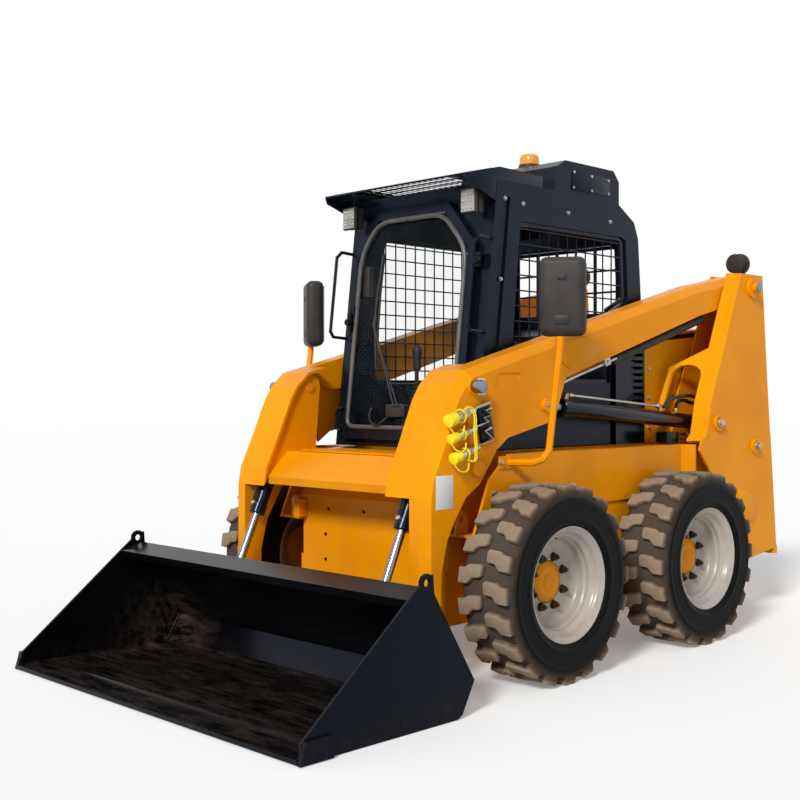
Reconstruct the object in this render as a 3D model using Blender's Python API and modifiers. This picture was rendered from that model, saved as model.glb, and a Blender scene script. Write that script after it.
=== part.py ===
"""Skid steer loader, as separate pieces on their joints, in metres with +Z up.

Lengths along Y are counted from the front axle (forward is -Y), X from the middle of the machine
and Z from the ground. An empty named datum then puts the middle of the whole machine at Y = 0.
"""

import math

import bmesh
import bpy
from mathutils import Matrix, Vector

# driving dimensions
WHEELBASE = 1.000
WHEEL_R = 0.385
WHEEL_X = 0.756
TYRE_HALF_W = 0.130
RIM_R = 0.2235
BEAD_R = 0.2100
TREAD_STEPS = 40

BUCKET_TIP_Y = -1.363
REAR_END_Y = 2.020
DATUM_Y = -(BUCKET_TIP_Y + REAR_END_Y) / 2

ARM_OUT = 0.594
ARM_PLATE = 0.012
BEAM_IN = 0.474
LEG_IN = 0.511
EAR_IN = 0.392
FRONT_IN = 0.378
ARM_CHAMFER = 0.035
LOBE_IN = 0.500

FRAME_HALF = 0.600
CASE_HALF = 0.590
BAY_HALF = 0.4490
CAB_HALF = 0.436
CAB_WALL = 0.036
TOWER_OUT = 0.660
TOWER_IN = 0.455
TOWER_PLATE = 0.012
ARCH_Z = 1.211
GAP = 0.0005
VENT_PITCH = 0.031

# pivots, as (y, z) on each side, or (x, y, z)
ARM_PIVOT = (1.760, 1.655)
TILT_PIVOT = (-0.480, 0.180)
LIFT_X = 0.550
LIFT_BASE = (1.434, 0.980)
LIFT_EYE = (0.190, 1.075)
TILT_X = 0.452
BASE_PIN_R = 0.020
TILT_TOP = (-0.250, 1.150)
TILT_EYE = (-0.6033, 0.365)
DOOR_HINGE = (0.393, -0.0768, 0.960)
REAR_HINGE = (-0.436, 1.960, 0.800)
HOOD_HINGE = (0.0, 1.215, 1.425)

COLOURS = {
    # name: colour, roughness, metallic
    "yellow": ((0.90, 0.36, 0.00), 0.35, 0.0),
    "navy": ((0.020, 0.026, 0.040), 0.40, 0.0),
    "black": ((0.012, 0.012, 0.014), 0.35, 0.0),
    "rubber": ((0.020, 0.019, 0.018), 0.85, 0.0),
    "silver": ((0.60, 0.61, 0.63), 0.30, 0.9),
    "chrome": ((0.75, 0.75, 0.77), 0.12, 1.0),
    "glass": ((0.55, 0.60, 0.60), 0.05, 0.0),
    "iron": ((0.10, 0.10, 0.10), 0.60, 0.6),
    "vinyl": ((0.03, 0.03, 0.03), 0.60, 0.0),
    "amber": ((0.85, 0.25, 0.00), 0.20, 0.0),
}


def clear_scene():
    for item in list(bpy.data.objects):
        bpy.data.objects.remove(item, do_unlink=True)


def collection(name):
    made = bpy.data.collections.new(name)
    bpy.context.scene.collection.children.link(made)
    return made


def material(name, finish):
    colour, roughness, metallic = COLOURS[finish]
    made = bpy.data.materials.new(name)
    made.use_nodes = True
    shader = made.node_tree.nodes["Principled BSDF"]
    shader.inputs["Base Color"].default_value = (*colour, 1.0)
    shader.inputs["Roughness"].default_value = roughness
    shader.inputs["Metallic"].default_value = metallic
    return made


def mesh_object(name, builder):
    """A loose piece, in the datum's axes, from a bmesh."""
    mesh = bpy.data.meshes.new(name)
    builder.to_mesh(mesh)
    builder.free()
    made = bpy.data.objects.new(name, mesh)
    CUTTERS.objects.link(made)
    made.hide_render = True
    made.display_type = "WIRE"
    return made


def evaluated(made):
    """The piece with its modifiers applied, as a bmesh with its doubles merged."""
    bpy.context.view_layer.update()
    shape = made.evaluated_get(bpy.context.evaluated_depsgraph_get())
    builder = bmesh.new()
    builder.from_mesh(bpy.data.meshes.new_from_object(shape))
    bmesh.ops.transform(builder, matrix=made.matrix_world, verts=builder.verts)
    bmesh.ops.remove_doubles(builder, verts=builder.verts, dist=1e-5)
    return builder


def solid(made):
    """Turns a curve or a modified mesh into a closed mesh that a Boolean can use."""
    builder = evaluated(made)
    bmesh.ops.dissolve_limit(builder, angle_limit=0.001, verts=builder.verts, edges=builder.edges)
    bmesh.ops.recalc_face_normals(builder, faces=builder.faces)
    name = made.name
    bpy.data.objects.remove(made, do_unlink=True)
    return mesh_object(name, builder)


def box(low, high):
    builder = bmesh.new()
    bmesh.ops.create_cube(builder, size=1.0)
    size = Vector(high) - Vector(low)
    middle = (Vector(high) + Vector(low)) / 2
    bmesh.ops.transform(builder, matrix=Matrix.Translation(middle) @ Matrix.Diagonal((*size, 1.0)),
                        verts=builder.verts)
    return mesh_object("box", builder)


def side_box(sign, low, high):
    """A box given by its inner and outer x on one side of the machine."""
    inner, outer = sorted((sign * low[0], sign * high[0]))
    return box((inner, *low[1:]), (outer, *high[1:]))


def turned_to(start, end):
    """The matrix that lays +Z from start to end, centred between them."""
    start, end = Vector(start), Vector(end)
    turn = (end - start).to_track_quat("Z", "Y").to_matrix().to_4x4()
    return Matrix.Translation((start + end) / 2) @ turn


def rod(start, end, radius, sides=16, end_radius=None):
    builder = bmesh.new()
    length = (Vector(end) - Vector(start)).length
    bmesh.ops.create_cone(builder, cap_ends=True, segments=sides, radius1=radius,
                          radius2=radius if end_radius is None else end_radius, depth=length)
    bmesh.ops.transform(builder, matrix=turned_to(start, end), verts=builder.verts)
    return mesh_object("rod", builder)


def pin(x_low, x_high, place, radius, sides=16):
    """A round bar along X through (y, z)."""
    return rod((x_low, *place), (x_high, *place), radius, sides)


AXES = {
    # the outline's two directions, and the direction that it is pushed along
    "X": Matrix(((0, 0, 1, 0), (1, 0, 0, 0), (0, 1, 0, 0), (0, 0, 0, 1))),
    "Y": Matrix(((1, 0, 0, 0), (0, 0, -1, 0), (0, 1, 0, 0), (0, 0, 0, 1))),
    "Z": Matrix.Identity(4),
}


def prism(outlines, low, high, axis="X"):
    """A flat outline, with any holes after it, pushed from low to high along an axis.

    Its points are (y, z) along X, (x, z) along Y and (x, y) along Z.
    """
    low, high = min(low, high), max(low, high)
    if not isinstance(outlines[0][0], (tuple, list)):
        outlines = [outlines]
    curve = bpy.data.curves.new("prism", "CURVE")
    curve.dimensions = "2D"
    curve.fill_mode = "BOTH"
    curve.extrude = (high - low) / 2
    for outline in outlines:
        spline = curve.splines.new("POLY")
        spline.points.add(len(outline) - 1)
        for point, (across, up) in zip(spline.points, outline):
            point.co = (across, up, 0.0, 1.0)
        spline.use_cyclic_u = True
    made = bpy.data.objects.new("prism", curve)
    CUTTERS.objects.link(made)
    middle = (low + high) / 2
    shift = {"X": (middle, 0, 0), "Y": (0, middle, 0), "Z": (0, 0, middle)}[axis]
    made.matrix_world = Matrix.Translation(shift) @ AXES[axis]
    return solid(made)


def loft(low_outline, low, high_outline, high):
    """A solid between two (y, z) outlines with as many points, which lie across X."""
    builder = bmesh.new()
    rows = [[builder.verts.new((x, y, z)) for y, z in outline]
            for x, outline in ((low, low_outline), (high, high_outline))]
    for row in rows:
        builder.faces.new(row)
    for i in range(len(rows[0])):
        builder.faces.new((rows[0][i - 1], rows[0][i], rows[1][i], rows[1][i - 1]))
    bmesh.ops.recalc_face_normals(builder, faces=builder.faces)
    return mesh_object("loft", builder)


def rounded_box(low, high, radius, segments=2):
    block = box(low, high)
    bevel = block.modifiers.new("rounding", "BEVEL")
    bevel.width = radius
    bevel.segments = segments
    return solid(block)


def offset_line(points, distance):
    """An open line moved to its right by a distance, with mitred corners."""
    places = [Vector(point) for point in points]
    runs = [(b - a).normalized() for a, b in zip(places, places[1:])]
    moved = []
    for i, place in enumerate(places):
        before, after = runs[max(i - 1, 0)], runs[min(i, len(runs) - 1)]
        middle = (before + after).normalized()
        right = Vector((middle.y, -middle.x))
        moved.append(tuple(place + right * distance / middle.dot(before)))
    return moved


def arc(centre, radius, start, end, steps):
    """Points round a circle, in degrees."""
    turns = [math.radians(start + (end - start) * i / steps) for i in range(steps + 1)]
    return [(centre[0] + radius * math.cos(a), centre[1] + radius * math.sin(a)) for a in turns]


def circle(centre, radius, steps=16):
    return arc(centre, radius, 0, 360, steps)[:-1]


def rounded(x_low, x_high, z_low, z_high, radius, steps=3):
    """A rectangle with round corners."""
    corners = ((x_high - radius, z_high - radius, 0), (x_low + radius, z_high - radius, 90),
               (x_low + radius, z_low + radius, 180), (x_high - radius, z_low + radius, 270))
    points = []
    for across, up, start in corners:
        points += arc((across, up), radius, start, start + 90, steps)
    return points


def tube(points, radius, resolution=2):
    """A bent bar along a route, with filled caps."""
    curve = bpy.data.curves.new("tube", "CURVE")
    curve.dimensions = "3D"
    curve.bevel_depth = radius
    curve.bevel_resolution = resolution
    curve.use_fill_caps = True
    spline = curve.splines.new("POLY")
    spline.points.add(len(points) - 1)
    for point, place in zip(spline.points, points):
        point.co = (*place, 1.0)
    made = bpy.data.objects.new("tube", curve)
    CUTTERS.objects.link(made)
    return solid(made)


def turned(profile, steps, closed=True):
    """A profile of (radius, height) points swept about Z, on its outer side top to bottom."""
    mesh = bpy.data.meshes.new("profile")
    edges = [(i, i + 1) for i in range(len(profile) - 1)]
    if closed:
        edges.append((len(profile) - 1, 0))
    mesh.from_pydata([(r, 0.0, h) for r, h in profile], edges, [])
    made = bpy.data.objects.new("turned", mesh)
    CUTTERS.objects.link(made)
    screw = made.modifiers.new("screw", "SCREW")
    screw.axis = "Z"
    screw.steps = screw.render_steps = steps
    screw.use_merge_vertices = True
    screw.merge_threshold = 0.00001
    return solid(made)


def lay_on_x(made, side, place):
    """Turns a piece made about Z so that its top faces outwards, and moves it to place."""
    matrix = Matrix.Translation(place) @ Matrix.Rotation(side * math.pi / 2, 4, "Y")
    made.data.transform(matrix)
    return made


def combine(base, others, operation):
    for other in others:
        step = base.modifiers.new(operation.lower(), "BOOLEAN")
        step.operation = operation
        step.solver = "EXACT"
        step.object = other
    return solid(base)


def fuse(base, *others):
    return combine(base, others, "UNION")


def cut(base, *others):
    return combine(base, others, "DIFFERENCE")


def place_piece(name, made, body, finish):
    """Names a finished piece, gives it its material, and parents it to its body's empty."""
    made.name = made.data.name = name
    made.data.materials.clear()
    made.data.materials.append(material(name, finish))
    CUTTERS.objects.unlink(made)
    PARTS.objects.link(made)
    made.hide_render = False
    made.display_type = "TEXTURED"
    made.data.shade_smooth()
    made.data.set_sharp_from_angle(angle=math.radians(30))
    made.parent = PIVOTS[body]
    made.location = -PIVOT_PLACES[body]
    return made


def add_pivots():
    """One empty on each joint's axis, under the empty that centres the machine."""
    datum = bpy.data.objects.new("datum", None)
    datum.location = (0, DATUM_Y, 0)
    PARTS.objects.link(datum)
    places = {"chassis": (0, 0, 0), "boom": (0, *ARM_PIVOT), "bucket": (0, *TILT_PIVOT),
              "cab_door": DOOR_HINGE, "rear_door": REAR_HINGE, "engine_hood": HOOD_HINGE}
    for side, sign in SIDES:
        places["lift_barrel_" + side] = (sign * LIFT_X, *LIFT_BASE)
        places["lift_rod_" + side] = (sign * LIFT_X, *LIFT_EYE)
        places["tilt_barrel_" + side] = (sign * TILT_X, *TILT_TOP)
        places["tilt_rod_" + side] = (sign * TILT_X, *TILT_EYE)
        for end, y in (("front", 0.0), ("rear", WHEELBASE)):
            places[f"wheel_{end}_{side}"] = (sign * WHEEL_X, y, WHEEL_R)
    for name, place in places.items():
        empty = bpy.data.objects.new("pivot_" + name, None)
        empty.parent = datum
        empty.location = place
        PARTS.objects.link(empty)
        PIVOTS[name] = empty
        PIVOT_PLACES[name] = Vector(place)


SIDES = (("left", 1), ("right", -1))
PIVOTS = {}
PIVOT_PLACES = {}


# Wheels

def tyre_mesh():
    """A tyre about Z. Its tread faces are pushed out, by turns on each side, as slanted lugs."""
    half = [(BEAD_R, 0.1030), (0.285, 0.130), (0.335, 0.127), (0.357, 0.105)]
    profile = half + [(0.361, 0.0)] + [(r, -h) for r, h in reversed(half)]
    builder = evaluated(turned(profile, TREAD_STEPS))
    step = 2 * math.pi / TREAD_STEPS
    lean = 0.5 * step
    for vert in builder.verts:
        if vert.co.xy.length > 0.35:
            turn = lean * (1 - abs(vert.co.z) / 0.105)
            vert.co.xy = Matrix.Rotation(turn, 2) @ vert.co.xy
    lugs = {}
    for face in builder.faces:
        middle = face.calc_center_median()
        if middle.xy.length > 0.33:
            turn = math.atan2(middle.y, middle.x) - lean * (0.5 if middle.xy.length > 0.35 else 0)
            index = int((turn % (2 * math.pi)) / step)
            if index % 2 == (middle.z > 0):
                lugs.setdefault((index, middle.z > 0), []).append(face)
    for faces in lugs.values():
        raised = bmesh.ops.extrude_face_region(builder, geom=faces)
        tops = [item for item in raised["geom"] if isinstance(item, bmesh.types.BMVert)]
        bmesh.ops.delete(builder, geom=faces, context="FACES")
        for vert in tops:
            radius = vert.co.xy.length
            if radius > 0.35:
                vert.co.xy *= WHEEL_R / radius
                vert.co.z = math.copysign(max(abs(vert.co.z) * 1.06, 0.010), vert.co.z or
                                          sum(v.co.z for v in tops))
            else:
                vert.co.z = math.copysign(TYRE_HALF_W, vert.co.z)
                vert.co.xy *= 1.02
    bmesh.ops.recalc_face_normals(builder, faces=builder.faces)
    return builder


def rim_shape():
    """A deep rim about Z: lips and barrel, with the disc at the wheel's middle plane."""
    lip, seat = 0.119, BEAD_R - 0.0015
    profile = [(0.0835, 0.000), (0.0835, -0.010), (0.125, -0.010), (0.198, -0.030), (0.203, -0.108),
               (RIM_R, -lip), (seat, -0.104), (seat, 0.104), (RIM_R, lip - 0.006), (RIM_R, lip),
               (0.201, 0.100), (0.180, 0.066), (0.176, 0.014), (0.150, 0.000)]
    return turned(list(reversed(profile)), 18)


def hub_shape():
    """The axle's flange, cap and shaft about Z, reaching in to the chain case."""
    profile = [(0.0, 0.012), (0.060, 0.012), (0.081, 0.002), (0.081, -0.0105), (0.112, -0.0105),
               (0.112, -0.030), (0.050, -0.034), (0.050, -0.1635), (0.0, -0.1635)]
    return turned(profile, 12, closed=False)


def add_wheels():
    for end, y in (("front", 0.0), ("rear", WHEELBASE)):
        for side, sign in SIDES:
            body = f"wheel_{end}_{side}"
            place = (sign * WHEEL_X, y, WHEEL_R)
            tyre = lay_on_x(mesh_object("tyre", tyre_mesh()), sign, place)
            place_piece(f"tyre_{end}_{side}", tyre, body, "rubber")
            place_piece(f"rim_{end}_{side}", lay_on_x(rim_shape(), sign, place), body, "silver")
            place_piece(f"hub_{end}_{side}", lay_on_x(hub_shape(), sign, place), body, "yellow")


# Main frame

def add_main_frame():
    """Nose and cab well, chain cases, fenders and the engine bay, as one welded tub."""
    tub = [(-0.250, 0.200), (-0.250, 0.673), (-0.120, 0.872), (0.100, 0.885), (1.220, 0.885),
           (1.930, 0.885), (1.930, 0.300), (1.700, 0.200)]
    frame = prism(tub, -BAY_HALF, BAY_HALF)
    case = [(-0.120, 0.200), (1.285, 0.200), (1.285, 0.560), (1.200, 0.660), (-0.005, 0.660),
            (-0.005, 0.560), (-0.120, 0.560)]
    fender = [(-0.010, 0.650), (-0.010, 0.880), (1.205, 0.880), (1.205, 0.650)]
    corner = [(0.42, 1.200), (0.599, 1.200), (0.646, 1.250), (0.646, 1.262), (0.42, 1.262)]
    for side, sign in SIDES:
        frame = fuse(frame, prism(case, sign * 0.40, sign * CASE_HALF),
                     prism(fender, sign * 0.41, sign * FRAME_HALF),
                     prism([(sign * x, y) for x, y in corner], 0.725, 0.8795, "Z"))
        nose_corner = [(sign * 0.425, -0.26), (sign * 0.46, -0.26), (sign * 0.46, -0.225)]
        frame = cut(frame, prism(nose_corner, 0.41, 0.575, "Z"))
    well = [(-0.120, 0.420), (0.020, 0.330), (0.780, 0.330), (0.780, 0.90), (-0.060, 0.90),
            (-0.080, 0.80)]
    bay = box((-0.430, 0.860, 0.230), (0.430, 1.94, 0.90))
    frame = cut(frame, prism(well, -0.400, 0.400), bay)
    place_piece("main_frame", frame, "chassis", "yellow")
    add_front_shelves()


def add_front_shelves():
    """Beside the nose: a shelf, its outer gusset, and a tie-down ear with its hole."""
    gusset = [(-0.255, 0.5605), (-0.160, 0.785), (-0.045, 0.880), (-0.0105, 0.880), (-0.0105, 0.5605)]
    ear = [(-0.262, 0.565), (-0.252, 0.640), (-0.225, 0.665), (-0.190, 0.640), (-0.190, 0.565)]
    for side, sign in SIDES:
        shelf = fuse(side_box(sign, (BAY_HALF + GAP, -0.250, 0.5605), (0.595, -0.0105, 0.573)),
                     prism(gusset, sign * (FRAME_HALF - 0.012), sign * FRAME_HALF),
                     prism([ear, circle((-0.227, 0.628), 0.014, 8)], sign * 0.500, sign * 0.512))
        place_piece("front_shelf_" + side, shelf, "chassis", "yellow")


def add_towers():
    """A bent shell on each side: inner plate, rear plate, outer plate and bevelled front."""
    levels = (
        # height, outer fold's y, inner edge of the bevel, rear y, front of the inner plate
        (1.722, 1.660, 0.606, 1.867, 1.70),
        (1.565, 1.591, 0.606, 1.882, 1.62),
        (1.345, 1.493, 0.606, 1.903, 1.52),
        (1.308, 1.477, 0.560, 1.907, 1.50),
        (1.250, 1.451, 0.486, 1.912, 1.45),
        (1.095, 1.380, 0.482, 1.928, 1.37),
        (0.927, 1.336, 0.480, 1.947, 1.33),
        (0.896, 1.300, 0.480, 1.950, 1.30),
    )
    lower = [(1.299, 0.906), (1.275, 0.850), (1.382, 0.733), (1.430, 0.640), (1.450, 0.500),
             (1.450, 0.330), (1.727, 0.288), (REAR_END_Y - 0.008, 0.322), (1.945, 0.906)]
    foot = [(1.300, 0.300), (2.000, 0.300), (1.944, 0.908), (1.315, 0.908)]
    for side, sign in SIDES:
        builder = bmesh.new()
        rows = []
        for z, fold, edge, rear, inner in levels:
            plan = ((TOWER_IN, inner), (TOWER_IN, rear), (TOWER_OUT, rear), (TOWER_OUT, fold),
                    (edge, fold - (TOWER_OUT - edge)))
            rows.append([builder.verts.new((sign * x, y, z)) for x, y in plan])
        for upper, below in zip(rows, rows[1:]):
            for i in range(len(upper) - 1):
                builder.faces.new((upper[i], upper[i + 1], below[i + 1], below[i]))
        shell = mesh_object("tower", builder)
        thick = shell.modifiers.new("plate", "SOLIDIFY")
        thick.thickness = TOWER_PLATE
        thick.offset = -sign
        thick.use_even_offset = True
        shell = solid(shell)
        arch = [(sign * x, z) for x, z in
                [(0.602, 0.80)] + arc((LIFT_X, ARCH_Z), 0.052, 0, 180, 6) + [(0.498, 0.80)]]
        shell = cut(shell, prism(arch, 1.05, 1.45, "Y"))
        outer = prism(lower, sign * (TOWER_OUT - TOWER_PLATE - GAP), sign * (TOWER_OUT - GAP))
        inner = prism(foot, sign * (TOWER_IN + GAP), sign * (TOWER_IN + TOWER_PLATE + GAP))
        rear = prism([(1.955, 0.912), (1.933, 0.912), (1.996, 0.310), (2.018, 0.310)],
                     sign * (TOWER_IN + 0.002), sign * (TOWER_OUT - 0.002))
        lift_pin = pin(sign * (TOWER_IN + 0.005), sign * 0.676, LIFT_BASE, BASE_PIN_R, 12)
        boss = pin(sign * 0.650, sign * 0.676, (1.790, 0.855), 0.024, 12)
        arm_pin = pin(sign * (TOWER_IN + 0.005), sign * 0.700, ARM_PIVOT, 0.025, 12)
        bumper = side_box(sign, (0.46, 1.990, 0.290), (0.66, REAR_END_Y, 0.330))
        tower = fuse(shell, outer, inner, rear, lift_pin, boss, arm_pin, bumper)
        place_piece("tower_" + side, tower, "chassis", "yellow")
        lamp = fuse(rod((sign * 0.515, 1.835, 1.795), (sign * 0.515, 1.905, 1.795), 0.055, 12),
                    box((sign * 0.515 - 0.02, 1.857, 1.7225), (sign * 0.515 + 0.02, 1.865, 1.76)))
        place_piece("rear_lamp_" + side, lamp, "chassis", "black")


def add_engine_covers():
    panel = [(1.119, 0.886), (1.318, 0.886), (1.345, 0.927), (1.375, 1.095), (1.448, 1.255),
             (1.500, 1.308), (1.560, 1.405), (1.119, 1.366)]
    vent = [(0.885, 0.886), (1.118, 0.886), (1.118, 1.366), (0.885, 1.345)]
    for side, sign in SIDES:
        low, high = sign * 0.438, sign * (BAY_HALF + 0.002)
        place_piece("side_panel_" + side, prism(panel, low, high), "chassis", "yellow")
        slots = [side_box(sign, (0.43, 1.008, 1.080 + VENT_PITCH * i),
                          (0.46, 1.104, 1.095 + VENT_PITCH * i)) for i in range(8)]
        place_piece("side_vent_" + side, cut(prism(vent, low, high), *slots), "chassis", "black")
    block = fuse(box((-0.26, 1.10, 0.36), (0.26, 1.72, 0.80)),
                 box((-0.18, 1.12, 0.79), (0.18, 1.66, 1.02)),
                 box((-0.30, 1.14, 0.2305), (-0.22, 1.66, 0.38)),
                 box((0.22, 1.14, 0.2305), (0.30, 1.66, 0.38)))
    place_piece("engine_block", block, "chassis", "iron")
    hood = [(1.215, 1.410), (1.880, 1.470), (1.895, 1.455), (1.895, 1.400), (1.883, 1.400),
            (1.883, 1.452), (1.874, 1.457), (1.215, 1.398)]
    place_piece("engine_hood", prism(hood, -CAB_HALF, CAB_HALF), "engine_hood", "yellow")
    door = [(1.952, 0.330), (1.968, 0.330), (1.932, 1.380), (1.916, 1.380)]
    slots = [box((-0.32, 1.85, 0.90 + 0.05 * i), (0.32, 2.05, 0.925 + 0.05 * i)) for i in range(8)]
    place_piece("rear_door", cut(prism(door, -CAB_HALF, CAB_HALF), *slots), "rear_door", "yellow")


# Cab

CAB_LEAN = 0.117
CAB_FOOT = (-0.058, 0.909)


def cab_front(z, back=0.0):
    return CAB_FOOT[0] + CAB_LEAN * (z - CAB_FOOT[1]) + back


def add_cab():
    roof, foot = 2.013, 0.889
    outline = [(cab_front(foot), foot), (cab_front(roof), roof), (0.915, roof), (1.053, 1.933),
               (1.086, 1.856), (1.110, 1.560), (1.110, 1.420), (0.862, 1.360), (0.862, foot)]
    inside = [(cab_front(0.80, CAB_WALL), 0.80), (cab_front(1.975, CAB_WALL), 1.975),
              (0.900, 1.975), (1.022, 1.905), (1.050, 1.850), (1.072, 1.560), (1.072, 1.455),
              (0.826, 1.395), (0.826, 0.80)]
    shell = cut(prism(outline, -CAB_HALF, CAB_HALF),
                prism(inside, CAB_WALL - CAB_HALF, CAB_HALF - CAB_WALL))
    side_window = [(0.165, 1.170), (0.860, 1.170), (0.860, 1.500), (1.000, 1.560), (0.985, 1.840),
                   (0.950, 1.855), (0.235, 1.855), (0.210, 1.830), (0.150, 1.200)]
    door_hole = [(-0.335, 0.930), (0.335, 0.930), (0.352, 0.960), (0.352, 1.740), (0.180, 1.925),
                 (-0.250, 1.925), (-0.372, 1.760), (-0.372, 0.960)]
    shell = cut(shell, prism(side_window, -0.5, 0.5), prism(door_hole, -0.20, 0.18, "Y"),
                prism(rounded(-0.32, 0.32, 1.50, 1.84, 0.03), 1.00, 1.20, "Y"))
    groove = [(cab_front(0.93, 0.045), 0.93), (cab_front(1.95, 0.045), 1.95),
              (cab_front(1.95, 0.090), 1.95), (cab_front(0.93, 0.090), 0.93)]
    for side, sign in SIDES:
        shell = cut(shell, prism(groove, sign * (CAB_HALF - 0.010), sign * (CAB_HALF + 0.010)))
    place_piece("cab_frame", shell, "chassis", "navy")
    grid = [[(x, z), (x + 0.117, z), (x + 0.117, z + 0.096), (x, z + 0.096)]
            for x in (-0.3065, -0.1825, -0.0585, 0.0655, 0.1895) for z in (1.515, 1.6205, 1.726)]
    screen = prism([rounded(-0.3190, 0.3190, 1.501, 1.839, 0.029)] + grid, 1.082, 1.090, "Y")
    place_piece("rear_screen", screen, "chassis", "black")
    for side, sign in SIDES:
        stand_off = ((1.765, 0.0), (1.770, 0.075), (1.745, 0.100), (1.405, 0.100), (1.380, 0.080),
                     (1.375, 0.0))
        route = [(sign * 0.426, cab_front(z, -out - 0.0004), z) for z, out in stand_off]
        place_piece("grab_handle_" + side, tube(route, 0.008, 1), "chassis", "black")
        window = [(0.170, 1.1705), (0.859, 1.1705), (0.859, 1.505), (0.985, 1.565), (0.970, 1.838),
                  (0.948, 1.8545), (0.237, 1.8545), (0.212, 1.828), (0.152, 1.200)]
        place_piece("side_mesh_" + side, wire_screen(window, sign), "chassis", "black")
    roof_box = [(0.620, 2.0135), (1.120, 2.0135), (1.120, 2.150), (1.075, 2.200), (0.700, 2.200),
                (0.640, 2.165), (0.620, 2.100)]
    place_piece("ac_unit", prism(roof_box, -0.30, 0.30), "chassis", "navy")
    lamp = fuse(rod((0.02, 0.775, 2.2005), (0.02, 0.775, 2.222), 0.052, 16),
                rod((0.02, 0.775, 2.220), (0.02, 0.775, 2.275), 0.046, 16, 0.040))
    place_piece("beacon", lamp, "chassis", "amber")
    add_visor()
    add_seat()
    add_mirrors()


def wire_screen(window, sign):
    """A screen in a side window: square wires, with a rim that fits the opening."""
    hole = [(0.185, 1.185), (0.844, 1.185), (0.844, 1.514), (0.969, 1.573), (0.955, 1.825),
            (0.940, 1.8395), (0.247, 1.8395), (0.227, 1.823), (0.167, 1.205)]
    screen = prism([window, hole], sign * 0.412, sign * 0.426)
    low, high = sorted((sign * 0.4145, sign * 0.4235))
    wires = []
    for i in range(7):
        y = 0.262 + 0.102 * i
        top, bottom = (1.85, 1.18) if y < 0.85 else (1.85, 1.54)
        wires.append(box((low, y - 0.003, bottom), (high, y + 0.003, top)))
    for i in range(5):
        z = 1.285 + 0.114 * i
        front = 0.158 + 0.097 * (z - 1.20)
        back = 0.85 if z < 1.55 else 0.95 if z < 1.60 else 0.970
        wires.append(box((low + 0.001, front, z - 0.003), (high - 0.001, back, z + 0.003)))
    return fuse(screen, *wires)


def add_visor():
    """The roof guard: a sheet with slanted slots over the door, side plates and two lamps."""
    sheet = [(-0.126, 2.016), (0.088, 2.069), (0.370, 2.066), (0.370, 2.058), (0.089, 2.061),
             (-0.124, 2.008)]
    guard = prism(sheet, -0.435, 0.435)
    slots = [prism([(x, y), (x + 0.045, y), (x + 0.060, y + 0.060), (x + 0.015, y + 0.060)],
                   2.0, 2.1, "Z")
             for y in (0.110, 0.200, 0.290) for x in (-0.350, -0.230, 0.000, 0.120, 0.240)]
    guard = cut(guard, *slots)
    cheek = [(-0.125, 2.012), (-0.114, 1.983), (0.0585, 1.925), (0.0685, 2.0135), (0.369, 2.0135),
             (0.369, 2.062), (0.089, 2.065)]
    for sign in (1, -1):
        x = sign * 0.370
        guard = fuse(guard, prism(cheek, sign * 0.428, sign * 0.436),
                     box((x - 0.04, -0.035, 1.872), (x + 0.04, 0.010, 1.968)),
                     box((x - 0.008, -0.014, 1.967), (x + 0.008, 0.002, 2.040)))
    place_piece("roof_guard", guard, "chassis", "navy")


def add_seat():
    """Pedestal, cushion and back, with a console and a bellowed control stick on each side."""
    back = prism([(0.62, 0.74), (0.66, 1.10), (0.69, 1.30), (0.71, 1.33), (0.76, 1.32), (0.70, 0.70)],
                 -0.23, 0.23)
    seat = fuse(box((-0.20, 0.30, 0.3305), (0.20, 0.76, 0.67)),
                rounded_box((-0.25, 0.26, 0.655), (0.25, 0.72, 0.76), 0.030, 1), back)
    stick = [(0.0, 1.190), (0.020, 1.185), (0.024, 1.150), (0.014, 1.100), (0.012, 1.010),
             (0.028, 0.990), (0.024, 0.965), (0.040, 0.945), (0.034, 0.920), (0.052, 0.900),
             (0.052, 0.870), (0.0, 0.870)]
    for side, sign in SIDES:
        lever = turned(stick, 8, closed=False)
        lever.data.transform(Matrix.Translation((sign * 0.300, 0.330, 0)))
        console = [(0.270, 0.600), (0.250, 0.860), (0.270, 0.880), (0.620, 0.880), (0.620, 0.600)]
        seat = fuse(seat, prism(console, sign * 0.245, sign * 0.360), lever)
    place_piece("seat", seat, "chassis", "vinyl")


def add_mirrors():
    """A bent tube from each front gusset, with a rounded mirror head toed towards the driver."""
    for side, sign in SIDES:
        route = ((0.6045, -0.050, 0.850), (0.715, -0.034, 0.852), (0.752, -0.022, 0.865),
                 (0.768, 0.000, 0.900), (0.770, 0.068, 1.320), (0.770, 0.068, 1.3495))
        arm = tube([Vector((sign * x, y, z)) for x, y, z in route], 0.0145, 2)
        plate = side_box(sign, (FRAME_HALF + GAP, -0.110, 0.825), (0.606, -0.020, 0.875))
        place_piece("mirror_arm_" + side, fuse(plate, arm), "chassis", "yellow")
        head = rounded_box((-0.093, -0.042, 1.350), (0.093, 0.042, 1.665), 0.030)
        head.data.transform(Matrix.Translation((sign * 0.770, 0.085, 0)) @
                            Matrix.Rotation(math.radians(sign * 33), 4, "Z"))
        place_piece("mirror_" + side, head, "chassis", "black")


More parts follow.
